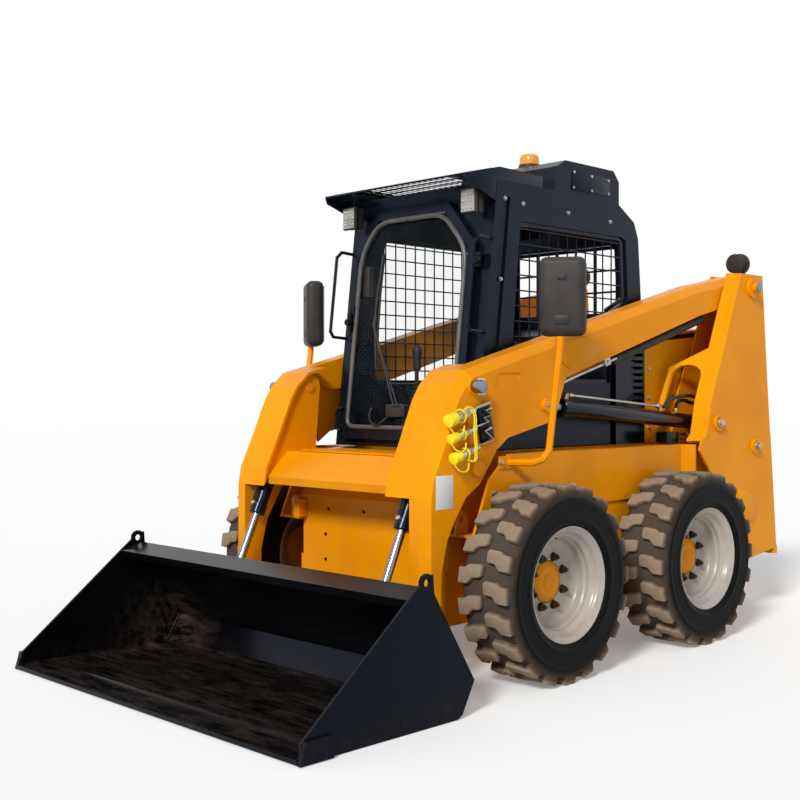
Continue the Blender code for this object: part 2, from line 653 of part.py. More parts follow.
def add_door():
    """The front door: a frame round one pane, with the latch at its free edge."""
    outline = [(-0.350, 0.920), (0.345, 0.920), (0.365, 0.945), (0.365, 1.752), (0.187, 1.945),
               (-0.262, 1.945), (-0.388, 1.768), (-0.388, 0.945)]
    hole = [(-0.320, 0.965), (0.310, 0.965), (0.325, 0.985), (0.325, 1.735), (0.170, 1.903),
            (-0.244, 1.903), (-0.346, 1.752), (-0.346, 0.985)]

    def lean(made, gap):
        made.data.transform(Matrix.Translation((0, CAB_FOOT[0] - gap, CAB_FOOT[1])) @
                            Matrix.Shear("XY", 4, (0.0, CAB_LEAN)) @
                            Matrix.Translation((0, 0, -CAB_FOOT[1])))
        return made

    frame = prism([outline, hole], -0.028, 0.0, "Y")
    knuckle_x = DOOR_HINGE[0]
    for z in (1.050, 1.650):
        frame = fuse(frame, box((0.350, -0.0275, z + 0.004), (knuckle_x, -0.0200, z + 0.056)),
                     rod((knuckle_x, -0.024, z), (knuckle_x, -0.024, z + 0.060), 0.011, 8))
    place_piece("door_frame", lean(frame, 0.0008), "cab_door", "navy")
    inner = [(x * 0.998, 1.4 + (z - 1.4) * 0.998) for x, z in hole]
    place_piece("door_glass", lean(prism(inner, -0.018, -0.012, "Y"), 0.0008), "cab_door", "glass")


# Boom

FRONT_EDGE = [(-0.515, 0.433), (-0.514, 0.729), (-0.501, 0.803), (-0.433, 0.949), (-0.368, 1.099),
              (-0.330, 1.157), (-0.268, 1.215)]
TOP_EDGE = [(0.566, 1.437), (1.376, 1.649), (1.523, 1.674), (1.700, 1.712)]
LOBE_EDGE = [(1.377, 1.500), (0.330, 1.190), (0.250, 1.010), (-0.043, 0.947), (-0.110, 0.901),
             (-0.209, 0.772), (-0.288, 0.726), (-0.349, 0.643), (-0.393, 0.570), (-0.425, 0.445)]


def chamfer_wedge(edge, sign):
    """The corner that a slanted cut takes off the arm's outer face along its front and top."""
    outside = offset_line(edge, -0.030)
    near = outside + offset_line(edge, -0.005)[::-1]
    far = outside + offset_line(edge, ARM_CHAMFER + 0.010)[::-1]
    return loft(near, sign * (ARM_OUT - ARM_CHAMFER - 0.005), far, sign * (ARM_OUT + 0.010))


def add_arms():
    """Each arm: a box beam, a front leg, lobes round the lift pin and an ear for the tilt pin."""
    tail = arc(ARM_PIVOT, 0.066, 100, -80, 6)
    toe = arc(TILT_PIVOT, 0.045, 0, -180, 6)
    silhouette = FRONT_EDGE + TOP_EDGE + tail + LOBE_EDGE + toe
    beam = [(-0.190, 1.2357)] + TOP_EDGE + tail + [(1.377, 1.500), (0.330, 1.190), (-0.060, 1.140),
                                                   (-0.175, 1.200)]
    lobe = [(0.330, 1.192), (0.250, 1.010), (-0.043, 0.947), (-0.110, 0.901), (-0.130, 1.160)]
    leg = [(-0.515, 0.433), (-0.514, 0.735), (-0.300, 0.735), (-0.349, 0.643), (-0.393, 0.570),
           (-0.425, 0.445)] + toe
    front = FRONT_EDGE[1:] + [(-0.170, 1.2411)]
    front += offset_line(FRONT_EDGE[2:] + [(-0.170, 1.2411)], ARM_PLATE)[::-1] + [(-0.502, 0.742)]
    ear = [(-0.490, 0.770), (-0.421, 0.944), (-0.357, 1.092), (-0.320, 1.150)]
    ear += arc(TILT_TOP, 0.060, 110, -20, 5) + [(-0.215, 0.880), (-0.215, 0.770)]
    edge = [(-0.523, 0.230)] + FRONT_EDGE + TOP_EDGE
    corner = edge[1:] + offset_line(edge[1:], ARM_CHAMFER + ARM_PLATE)[::-1]
    pocket = [(-0.101, 1.204), (0.037, 1.208), (0.026, 1.178), (-0.125, 1.146)]
    for side, sign in SIDES:
        skin = sign * (ARM_OUT - 0.004)
        arm = fuse(prism(silhouette, sign * (ARM_OUT - ARM_PLATE), sign * ARM_OUT),
                   prism(beam, sign * BEAM_IN, skin),
                   prism(lobe, sign * LOBE_IN, sign * (LOBE_IN + ARM_PLATE)),
                   prism(leg, sign * LEG_IN, skin),
                   prism(front, sign * FRONT_IN, skin),
                   prism(corner, sign * (ARM_OUT - ARM_CHAMFER - ARM_PLATE), skin),
                   prism(ear, sign * EAR_IN, sign * (EAR_IN + ARM_PLATE)))
        arm = cut(arm, chamfer_wedge(edge, sign),
                  prism(pocket, sign * (ARM_OUT - 0.004), sign * (ARM_OUT + 0.01)))
        arm = fuse(arm, pin(sign * 0.386, sign * 0.640, TILT_TOP, 0.020, 12),
                   pin(skin, sign * (ARM_OUT + 0.010), TILT_TOP, 0.032, 12),
                   pin(skin, sign * (ARM_OUT + 0.020), LIFT_EYE, 0.028, 12))
        arm = cut(arm, pin(sign * 0.40, sign * 0.70, ARM_PIVOT, 0.0270, 12),
                  pin(sign * 0.40, sign * 0.70, TILT_PIVOT, 0.0220, 12))
        place_piece("arm_" + side, arm, "boom", "yellow")
    bar = [(-0.488, 0.767), (-0.374, 0.872), (-0.215, 0.880), (-0.215, 0.866), (-0.368, 0.858),
           (-0.468, 0.767), (-0.468, 0.735), (-0.480, 0.735)]
    place_piece("crossbar", prism(bar, 0.0005 - EAR_IN, EAR_IN - 0.0005), "boom", "yellow")
    add_couplers()
    add_arm_pipes()


def add_arm_pipes():
    """Two steel lines in a clamp under the left arm's beam, with a sleeve where they bend."""
    pipes = [tube([Vector(p) for p in ((x, 0.262, 1.140), (x, 0.345, 1.168), (x, 1.440, 1.492))],
                  0.008, 1) for x in (0.536, 0.561)]
    clamp = prism([(0.6260, 1.2771), (0.6640, 1.2884), (0.6745, 1.2530), (0.6365, 1.2417)],
                  0.520, 0.577)
    sleeve = tube([(0.5485, 0.730, 1.2795), (0.5485, 1.460, 1.4955)], 0.0165, 2)
    place_piece("arm_pipes_left", fuse(clamp, sleeve, *pipes), "boom", "black")


def add_couplers():
    """The auxiliary hydraulic couplings on the left arm, on one bracket."""
    bracket = box((0.5945, -0.300, 0.930), (0.602, -0.205, 1.060))
    taps = []
    for y, z in ((-0.350, 1.020), (-0.345, 0.965), (-0.335, 0.910)):
        taps.append(rod((0.615, y + 0.02, z), (0.615, y + 0.115, z + 0.03), 0.012, 8))
        taps.append(rod((0.615, y - 0.045, z - 0.014), (0.615, y + 0.03, z + 0.003), 0.022, 10))
    bank = fuse(bracket, box((0.600, -0.270, 0.900), (0.617, -0.235, 1.060)), *taps)
    place_piece("coupler_bank", bank, "boom", "silver")


# Bucket

def add_bucket():
    shell = [(BUCKET_TIP_Y, 0.004), (-0.661, 0.004), (-0.637, 0.017), (-0.578, 0.125),
             (-0.777, 0.450), (-0.800, 0.472), (-0.895, 0.442), (-0.885, 0.412), (-0.795, 0.432),
             (-0.790, 0.445), (-0.594, 0.128), (-0.648, 0.028), (-0.668, 0.016), (-1.24, 0.016),
             (BUCKET_TIP_Y, 0.020)]
    cheek = [(-1.350, 0.002), (-0.660, 0.002), (-0.635, 0.015), (-0.575, 0.125), (-0.775, 0.450),
             (-0.780, 0.515)]
    cheek += arc((-0.810, 0.490), 0.032, 40, 190, 5) + [(-0.885, 0.450), (-1.350, 0.066)]
    pieces = []
    for side, sign in SIDES:
        pieces.append(prism([cheek, circle((-0.810, 0.490), 0.014, 8)], sign * 0.890, sign * 0.900))
        pieces.append(prism([(BUCKET_TIP_Y - 0.001, 0.003), (-1.230, 0.003), (-1.230, 0.072),
                             (-1.345, 0.072)], sign * 0.898, sign * 0.916))
    place_piece("bucket", fuse(prism(shell, -0.895, 0.895), *pieces), "bucket", "black")
    plate = [(-0.5660, 0.125), (-0.7580, 0.437), (-0.7495, 0.4422), (-0.5575, 0.1302)]
    ear = [(-0.5665, 0.126), (-0.700, 0.343)] + arc(TILT_EYE, 0.036, 120, 40, 3)
    ear += arc(TILT_PIVOT, 0.045, 40, -100, 6) + [(-0.560, 0.105)]
    frame = prism(plate, -0.52, 0.52)
    for side, sign in SIDES:
        for low, high in ((0.405, 0.418), (0.486, 0.499)):
            frame = fuse(frame, prism(ear, sign * low, sign * high))
        frame = fuse(frame, pin(sign * 0.415, sign * 0.606, TILT_PIVOT, 0.020, 12))
    place_piece("attach_frame", frame, "bucket", "black")


# Cylinders

CYLINDERS = (
    # name, x, base pin, rod's eye, barrel's, rod's and eye's radius, barrel's length, rod's start
    ("lift", LIFT_X, LIFT_BASE, LIFT_EYE, 0.036, 0.0215, 0.034, 1.095, 0.100),
    ("tilt", TILT_X, TILT_TOP, TILT_EYE, 0.030, 0.0175, 0.027, 0.600, 0.185),
)
BORE_START = 0.080
PIPE_R = 0.006


def barrel_pipe(start, along, radius):
    """The steel line on top of a lift barrel, from the port at its mouth back to its middle."""
    up = Vector((0, along.z, -along.y))
    stations = ((1.060, -0.006), (1.060, 0.018), (0.330, 0.018), (0.330, -0.006))
    return tube([start + along * s + up * (radius + out) for s, out in stations], PIPE_R, 1)


def add_cylinders():
    """On each side two barrels on their base pins, with the rods that slide in them."""
    for side, sign in SIDES:
        for kind, offset, base, eye, radius, rod_r, eye_r, length, rod_start in CYLINDERS:
            x = sign * offset
            start, end = Vector((x, *base)), Vector((x, *eye))
            along = (end - start).normalized()
            mouth = start + along * length
            barrel = fuse(rod(start + along * 0.030, mouth, radius, 12),
                          rod(mouth - along * 0.045, mouth - along * 0.002, radius + 0.004, 12),
                          pin(x - 0.026, x + 0.026, base, BASE_PIN_R + 0.018, 12))
            if kind == "lift":
                barrel = fuse(barrel, barrel_pipe(start, along, radius))
            bore = rod(start + along * BORE_START, mouth + along * 0.01, rod_r + 0.001, 10)
            barrel = cut(barrel, bore, pin(x - 0.05, x + 0.05, base, BASE_PIN_R + 0.002, 12))
            piston = fuse(rod(start + along * rod_start, end - along * 0.018, rod_r, 10),
                          pin(x - 0.024, x + 0.024, eye, eye_r, 12))
            piston = cut(piston, pin(x - 0.05, x + 0.05, eye, eye_r / 2, 12))
            place_piece(f"{kind}_barrel_{side}", barrel, f"{kind}_barrel_{side}", "black")
            place_piece(f"{kind}_rod_{side}", piston, f"{kind}_rod_{side}", "chrome")


clear_scene()
PARTS = collection("skid_steer_loader")
CUTTERS = collection("cutters")
add_pivots()
add_wheels()
add_main_frame()
add_towers()
add_engine_covers()
add_cab()
add_door()
add_arms()
add_bucket()
add_cylinders()
for leftover in list(CUTTERS.objects):
    bpy.data.objects.remove(leftover, do_unlink=True)
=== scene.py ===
import math

import bmesh
import bpy
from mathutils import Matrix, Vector


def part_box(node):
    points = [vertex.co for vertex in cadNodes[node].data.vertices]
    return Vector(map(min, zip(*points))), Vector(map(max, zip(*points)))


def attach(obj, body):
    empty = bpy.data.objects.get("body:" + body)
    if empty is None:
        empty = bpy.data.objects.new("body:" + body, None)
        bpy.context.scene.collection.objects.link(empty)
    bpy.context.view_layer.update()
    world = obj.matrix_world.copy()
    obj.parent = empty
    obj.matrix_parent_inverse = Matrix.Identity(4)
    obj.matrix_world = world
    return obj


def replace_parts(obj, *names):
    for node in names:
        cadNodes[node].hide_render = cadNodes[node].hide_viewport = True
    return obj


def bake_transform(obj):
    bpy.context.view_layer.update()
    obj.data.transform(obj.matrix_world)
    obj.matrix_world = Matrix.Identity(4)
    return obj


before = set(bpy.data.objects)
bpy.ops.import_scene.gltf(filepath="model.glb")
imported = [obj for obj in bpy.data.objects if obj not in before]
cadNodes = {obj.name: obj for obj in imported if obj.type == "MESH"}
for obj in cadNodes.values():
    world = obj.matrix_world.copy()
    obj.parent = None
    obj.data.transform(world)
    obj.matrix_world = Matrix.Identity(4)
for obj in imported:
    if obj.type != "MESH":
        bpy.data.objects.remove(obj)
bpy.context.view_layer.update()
print("frame loaded,", len(cadNodes), "nodes")

# Camera

photoCamera = {
    "place": (3.6844, -3.9381, 1.1303),
    "turn": (math.radians(89.91), math.radians(0.0), math.radians(43.78)),
    "lens": 53.118,  # on a 36 mm wide sensor
    "shift": (-0.0612, -0.0080),
}


def addCamera():
    bpy.ops.object.camera_add(location=photoCamera["place"], rotation=photoCamera["turn"])
    camera = bpy.context.object
    camera.name = "photoCamera"
    camera.data.lens = photoCamera["lens"]
    camera.data.sensor_width = 36.0
    camera.data.shift_x, camera.data.shift_y = photoCamera["shift"]
    camera.data.clip_end = 100.0
    bpy.context.scene.camera = camera


# Materials

def linear(code):
    # an sRGB hex colour, as Blender's linear values
    values = [int(code[i:i + 2], 16) / 255 for i in (1, 3, 5)]
    return (*[v / 12.92 if v <= 0.04045 else ((v + 0.055) / 1.055) ** 2.4 for v in values], 1.0)


def addNode(material, kind, settings=None, links=None):
    # a node, with its values by socket or property name, and its links by socket name
    node = material.node_tree.nodes.new(kind)
    for name, value in (settings or {}).items():
        if name == "stops":
            ramp = node.color_ramp
            for i, (place, colour) in enumerate(value):
                stop = ramp.elements[i] if i < len(ramp.elements) else ramp.elements.new(place)
                stop.position, stop.color = place, colour
        elif isinstance(name, int) or name in node.inputs:
            node.inputs[name].default_value = value
        else:
            setattr(node, name, value)
    for name, source in (links or {}).items():
        material.node_tree.links.new(source, node.inputs[name])
    return node


def newMaterial(name, shaderValues):
    material = bpy.data.materials.new(name)
    material.use_nodes = True
    shader = material.node_tree.nodes["Principled BSDF"]
    for socket, value in shaderValues.items():
        shader.inputs[socket].default_value = value
    return material, shader


def driveShader(material, shader, sources):
    # each of the shader's sockets follows the output given for it
    for socket, source in sources.items():
        material.node_tree.links.new(source, shader.inputs[socket])


def weatheredPaint(name, settings):
    # sprayed enamel on steel plate: a slightly wavy gloss coat, dust on what faces up and low down, and where
    # given, a blue colour on the reflections that paints in the reflection of a sky
    material, shader = newMaterial(name, {
        "Metallic": 0.0, "IOR": 1.5, "Specular IOR Level": settings["shine"], "Coat Weight": settings["coat"],
        "Coat Roughness": 0.12, "Specular Tint": linear(settings.get("skyReflectionTint", "#FFFFFF"))})
    place = addNode(material, "ShaderNodeTexCoord").outputs["Object"]
    # broad drift in the colour over about 400 mm
    drift = addNode(material, "ShaderNodeTexNoise", {"Scale": 2.5, "Detail": 3.0}, {"Vector": place})
    base = addNode(material, "ShaderNodeValToRGB",
                   {"stops": [(0.35, linear(settings["deep"])), (0.65, linear(settings["light"]))]},
                   {"Fac": drift.outputs["Fac"]})
    # dust in clouds of about 60 mm with grit of about 6 mm, drawn out along x where a load slides
    swept = addNode(material, "ShaderNodeMapping", {"Scale": settings.get("swept", (1.0, 1.0, 1.0))},
                    {"Vector": place})
    clouds = addNode(material, "ShaderNodeTexNoise", {"Scale": 16.0, "Detail": 8.0, "Roughness": 0.65},
                     {"Vector": swept.outputs["Vector"]})
    facing = addNode(material, "ShaderNodeNewGeometry")
    upward = addNode(material, "ShaderNodeSeparateXYZ", links={"Vector": facing.outputs["Normal"]})
    height = addNode(material, "ShaderNodeSeparateXYZ", links={"Vector": place})
    low = addNode(material, "ShaderNodeMapRange",
                  {"From Min": settings["dustTop"], "From Max": settings["dustFoot"], "To Min": 0.0,
                   "To Max": settings["lowDust"]}, {"Value": height.outputs["Z"]})
    flat = addNode(material, "ShaderNodeMapRange",
                   {"From Min": 0.6, "From Max": 1.0, "To Min": 0.0, "To Max": settings["flatDust"]},
                   {"Value": upward.outputs["Z"]})
    amount = addNode(material, "ShaderNodeMath", {"operation": "ADD"},
                     {0: low.outputs["Result"], 1: flat.outputs["Result"]})
    if "corner" in settings:
        # soil packed into one corner, fading out over its reach
        away = addNode(material, "ShaderNodeVectorMath", {"operation": "DISTANCE", 1: settings["corner"]},
                       {0: place})
        packed = addNode(material, "ShaderNodeMapRange",
                         {"From Min": settings["reach"], "From Max": 0.0, "To Min": 0.0, "To Max": 0.8},
                         {"Value": away.outputs["Value"]})
        amount = addNode(material, "ShaderNodeMath", {"operation": "ADD"},
                         {0: amount.outputs[0], 1: packed.outputs["Result"]})
    thin, thick = settings.get("edge", (0.40, 0.62))  # where in the noise a patch of dust starts and is full
    patches = addNode(material, "ShaderNodeMapRange", {"From Min": thin, "From Max": thick},
                      {"Value": clouds.outputs["Fac"]})
    dust = addNode(material, "ShaderNodeMath", {"operation": "MULTIPLY", "use_clamp": True},
                   {0: amount.outputs[0], 1: patches.outputs["Result"]})
    colour = addNode(material, "ShaderNodeMix", {"data_type": "RGBA", 7: linear(settings["dust"])},
                     {0: dust.outputs[0], 6: base.outputs["Color"]})
    gloss = addNode(material, "ShaderNodeMapRange",
                    {"From Min": 0.0, "From Max": 1.0, "To Min": settings["rough"], "To Max": 0.85},
                    {"Value": dust.outputs[0]})
    # orange peel is about 2 mm wide, drawn at 9 mm so that it shows
    peel = addNode(material, "ShaderNodeTexNoise", {"Scale": 110.0, "Detail": 1.0}, {"Vector": place})
    bump = addNode(material, "ShaderNodeBump", {"Strength": settings["peel"], "Distance": 0.001},
                   {"Height": peel.outputs["Fac"]})
    driveShader(material, shader, {"Base Color": colour.outputs[2], "Roughness": gloss.outputs["Result"],
                                   "Normal": bump.outputs["Normal"]})
    return material


# the paints: two base colours, the dust and where it lies, gloss and orange peel, the blue colour of the
# reflections, a painted sky reflection
yellowEnamel = {"deep": "#E98E00", "light": "#F59C00", "dust": "#A07C48", "dustTop": 0.75, "dustFoot": 0.15,
                "lowDust": 0.22, "flatDust": 0.20, "rough": 0.30, "shine": 0.11, "coat": 0.02, "peel": 0.12}
cabPowderCoat = {"deep": "#0A0E15", "light": "#10141D", "dust": "#5E5A54", "dustTop": 1.2, "dustFoot": 0.6,
                 "lowDust": 0.12, "flatDust": 0.20, "rough": 0.26, "shine": 0.26, "coat": 0.02, "peel": 0.12,
                 "skyReflectionTint": "#9DB8E8"}
bucketEnamel = {"deep": "#050506", "light": "#0A0A0D", "dust": "#6A5645", "dustTop": 0.12, "dustFoot": 0.0,
                "lowDust": 0.10, "flatDust": 0.20, "rough": 0.20, "shine": 0.20, "coat": 0.02, "peel": 0.10,
                "skyReflectionTint": "#86A8E6", "swept": (0.40, 1.7, 1.7), "edge": (0.40, 0.80),
                "corner": (-0.88, -0.96, 0.04), "reach": 0.34}
frameEnamel = {"deep": "#070708", "light": "#0F0F11", "dust": "#5A544C", "dustTop": 0.9, "dustFoot": 0.2,
               "lowDust": 0.10, "flatDust": 0.20, "rough": 0.20, "shine": 0.34, "coat": 0.03, "peel": 0.10,
               "skyReflectionTint": "#A6BCE6"}
wheelSilver = {"deep": "#A09A92", "light": "#B4AAA0", "dust": "#8A7865", "dustTop": 0.8, "dustFoot": 0.0,
               "lowDust": 0.40, "flatDust": 0.2, "rough": 0.32, "shine": 0.5, "coat": 0.15, "peel": 0.1}


def grainedSurface(name, colours, shaderValues, grain, depth, spread=0.08):
    # a plain finish with its own grain: colour and gloss drift with it, and a fine bump follows it
    material, shader = newMaterial(name, shaderValues)
    place = addNode(material, "ShaderNodeTexCoord").outputs["Object"]
    noise = addNode(material, "ShaderNodeTexNoise", {"Scale": grain, "Detail": 6.0, "Roughness": 0.6},
                    {"Vector": place})
    broad = addNode(material, "ShaderNodeTexNoise", {"Scale": 9.0, "Detail": 4.0}, {"Vector": place})
    colour = addNode(material, "ShaderNodeValToRGB",
                     {"stops": [(0.35, linear(colours[0])), (0.65, linear(colours[1]))]},
                     {"Fac": broad.outputs["Fac"]})
    rough = shaderValues["Roughness"]
    gloss = addNode(material, "ShaderNodeMapRange",
                    {"From Min": 0.3, "From Max": 0.7, "To Min": max(rough - spread, 0.02),
                     "To Max": rough + spread},
                    {"Value": broad.outputs["Fac"]})
    bump = addNode(material, "ShaderNodeBump", {"Strength": depth, "Distance": 0.001},
                   {"Height": noise.outputs["Fac"]})
    driveShader(material, shader, {"Base Color": colour.outputs["Color"], "Normal": bump.outputs["Normal"],
                                   "Roughness": gloss.outputs["Result"]})
    return material


def tyreRubber(name, axle):
    # carbon-black rubber: a clean moulded sidewall with fine rings, and a tread scuffed pale by dust
    material, shader = newMaterial(name, {"Metallic": 0.0, "IOR": 1.5, "Specular IOR Level": 0.10})
    place = addNode(material, "ShaderNodeTexCoord").outputs["Object"]
    centred = addNode(material, "ShaderNodeMapping", {"Location": [-v for v in axle]}, {"Vector": place})
    flat = addNode(material, "ShaderNodeVectorMath", {"operation": "MULTIPLY", 1: (0.0, 1.0, 1.0)},
                   {0: centred.outputs["Vector"]})
    radius = addNode(material, "ShaderNodeVectorMath", {"operation": "LENGTH"}, {0: flat.outputs["Vector"]})
    # dust in patches of about 20 mm, which also shifts where the dusty zones start by up to 6 mm
    clouds = addNode(material, "ShaderNodeTexNoise", {"Scale": 45.0, "Detail": 8.0, "Roughness": 0.7},
                     {"Vector": place})
    shifted = addNode(material, "ShaderNodeMath", {"operation": "MULTIPLY_ADD", 1: 0.020},
                      {0: clouds.outputs["Fac"], 2: radius.outputs["Value"]})
    zone = addNode(material, "ShaderNodeMapRange", {"From Min": 0.310, "From Max": 0.410},
                   {"Value": shifted.outputs[0]})
    # from the sidewall over the shoulder and the grooves to the tops of the lugs
    colour = addNode(material, "ShaderNodeValToRGB", {"stops": [
        (0.0, linear("#050506")), (0.30, linear("#0A0A0A")), (0.46, linear("#3A322B")),
        (0.66, linear("#54483E")), (0.80, linear("#86735F")), (0.92, linear("#A08C77"))]},
        {"Fac": zone.outputs["Result"]})
    gloss = addNode(material, "ShaderNodeMapRange",
                    {"From Min": 0.2, "From Max": 0.6, "To Min": 0.5, "To Max": 0.9},
                    {"Value": zone.outputs["Result"]})
    # moulded rings 4 mm apart on the sidewall
    rings = addNode(material, "ShaderNodeMath", {"operation": "MULTIPLY", 1: 1570.0},
                    {0: radius.outputs["Value"]})
    wave = addNode(material, "ShaderNodeMath", {"operation": "SINE"}, {0: rings.outputs[0]})
    ringed = addNode(material, "ShaderNodeMath", {"operation": "MULTIPLY_ADD", 1: 0.25},
                     {0: wave.outputs[0], 2: clouds.outputs["Fac"]})
    bump = addNode(material, "ShaderNodeBump", {"Strength": 0.35, "Distance": 0.001},
                   {"Height": ringed.outputs[0]})
    driveShader(material, shader, {"Base Color": colour.outputs["Color"], "Normal": bump.outputs["Normal"],
                                   "Roughness": gloss.outputs["Result"]})
    return material


def clearGlass(name):
    # toughened sheet glass with a thin film of dust
    material, shader = newMaterial(name, {"Transmission Weight": 0.0, "Roughness": 0.05, "IOR": 1.5,
                                          "Base Color": linear("#39474B"), "Alpha": 0.16})
    place = addNode(material, "ShaderNodeTexCoord").outputs["Object"]
    film = addNode(material, "ShaderNodeTexNoise", {"Scale": 12.0, "Detail": 6.0}, {"Vector": place})
    haze = addNode(material, "ShaderNodeMapRange",
                   {"From Min": 0.35, "From Max": 0.75, "To Min": 0.03, "To Max": 0.08},
                   {"Value": film.outputs["Fac"]})
    driveShader(material, shader, {"Alpha": haze.outputs["Result"]})
    return material


def makeMaterials():
    return {
        "yellow": weatheredPaint("yellowEnamel", yellowEnamel),
        "cab": weatheredPaint("cabPowderCoat", cabPowderCoat),
        "bucket": weatheredPaint("bucketEnamel", bucketEnamel),
        "black": weatheredPaint("frameEnamel", frameEnamel),
        "silver": weatheredPaint("wheelSilver", wheelSilver),
        # hard chrome plating, ground and polished
        "chrome": grainedSurface("hardChrome", ("#7B828B", "#8C929B"),
                                 {"Metallic": 1.0, "Roughness": 0.18}, 60.0, 0.003, 0.03),
        # zinc plate on turned steel, slightly yellowed
        "steel": grainedSurface("zincPlate", ("#A9A79C", "#C4C2B8"),
                                {"Metallic": 1.0, "Roughness": 0.36}, 300.0, 0.08),
        "iron": grainedSurface("castIron", ("#2A2A2B", "#3A3938"),
                               {"Metallic": 0.3, "Roughness": 0.65}, 160.0, 0.4),
        # moulded ABS with a fine spark-eroded grain, drawn at 3 mm
        "plastic": grainedSurface("mouldedAbs", ("#262220", "#35302D"),
                                  {"Metallic": 0.0, "Roughness": 0.5, "Specular IOR Level": 0.3}, 330.0, 0.2),
        "vinyl": grainedSurface("seatVinyl", ("#141416", "#1D1D20"),
                                {"Metallic": 0.0, "Roughness": 0.55}, 260.0, 0.3),
        "glass": clearGlass("toughenedGlass"),
        # tinted acrylic lens
        "amber": grainedSurface("amberAcrylic", ("#EE9208", "#F7A414"),
                                {"Metallic": 0.0, "Roughness": 0.18, "Coat Weight": 0.5}, 60.0, 0.05),
        # clear polycarbonate over reflectors
        "lens": grainedSurface("lampPolycarbonate", ("#8F8B86", "#B9B5AF"),
                               {"Metallic": 0.4, "Roughness": 0.18, "Coat Weight": 0.3}, 420.0, 0.9, 0.05),
        "mirror": grainedSurface("silveredGlass", ("#CDD2D6", "#D6DADD"),
                                 {"Metallic": 1.0, "Roughness": 0.04}, 40.0, 0.01, 0.01),
        "brass": grainedSurface("yellowPassivate", ("#A8843C", "#C79F4E"),
                                {"Metallic": 1.0, "Roughness": 0.30}, 240.0, 0.08),
        # hose cover with the print of its cloth wrap, about 2 mm, drawn at 3 mm
        "hose": grainedSurface("hoseRubber", ("#131314", "#1E1D1D"),
                               {"Metallic": 0.0, "Roughness": 0.62}, 330.0, 0.35),
        # black EPDM rubber, its colour lightened to grey as a painted highlight of its gloss
        "gasket": grainedSurface("epdmRubberPaintedHighlight", ("#4A4744", "#5C5854"),
                                 {"Metallic": 0.0, "Roughness": 0.32}, 200.0, 0.10),
        "bronze": grainedSurface("bronzedSteel", ("#3B2B1E", "#54402C"),
                                 {"Metallic": 0.8, "Roughness": 0.45}, 200.0, 0.15),
        "capYellow": grainedSurface("mouldedPolyethylene", ("#F5DC00", "#FFE81A"),
                                    {"Metallic": 0.0, "Roughness": 0.45}, 260.0, 0.10),
        # white label film, left blank
        "label": grainedSurface("labelFilm", ("#DCDCDA", "#E6E6E4"),
                                {"Metallic": 0.0, "Roughness": 0.35}, 200.0, 0.02),
        "greyRubber": grainedSurface("naturalRubber", ("#6E6C69", "#83807C"),
                                     {"Metallic": 0.0, "Roughness": 0.7}, 200.0, 0.25),
    }


nodeFinishes = {
    # the start of a node's name, and its material
    "rim_": "silver", "hub_": "yellow", "main_frame": "yellow", "front_shelf_": "yellow", "tower_": "yellow",
    "rear_lamp_": "plastic", "side_panel_": "yellow", "side_vent_": "black", "engine_block": "iron",
    "engine_hood": "yellow", "rear_door": "yellow", "cab_frame": "cab", "rear_screen": "black",
    "grab_handle_": "black", "side_mesh_": "black", "ac_unit": "cab", "beacon": "amber", "roof_guard": "cab",
    "seat": "vinyl", "mirror_arm_": "yellow", "mirror_": "plastic", "door_frame": "cab",
    "door_glass": "glass", "arm_pipes_": "black", "arm_": "yellow", "crossbar": "yellow",
    "coupler_bank": "steel", "bucket": "bucket", "attach_frame": "bucket", "lift_barrel_": "black",
    "tilt_barrel_": "black", "lift_rod_": "chrome", "tilt_rod_": "chrome",
}


def finishNodes(materials):
    for name, node in cadNodes.items():
        if name.startswith("tyre_"):
            low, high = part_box(name)
            finish = tyreRubber("rubber" + name[4:], (low + high) / 2)
        else:
            finish = materials[next(f for start, f in nodeFinishes.items() if name.startswith(start))]
        node.data.materials.clear()
        node.data.materials.append(finish)


# Surroundings

# key light: strength, tilt from straight down and turn in degrees; lift is how far the paper is lightened
studio = {"floor": "#F4F4F2", "sky": 0.40, "key": 2.7, "high": 57, "round": 22, "lift": 0.20}


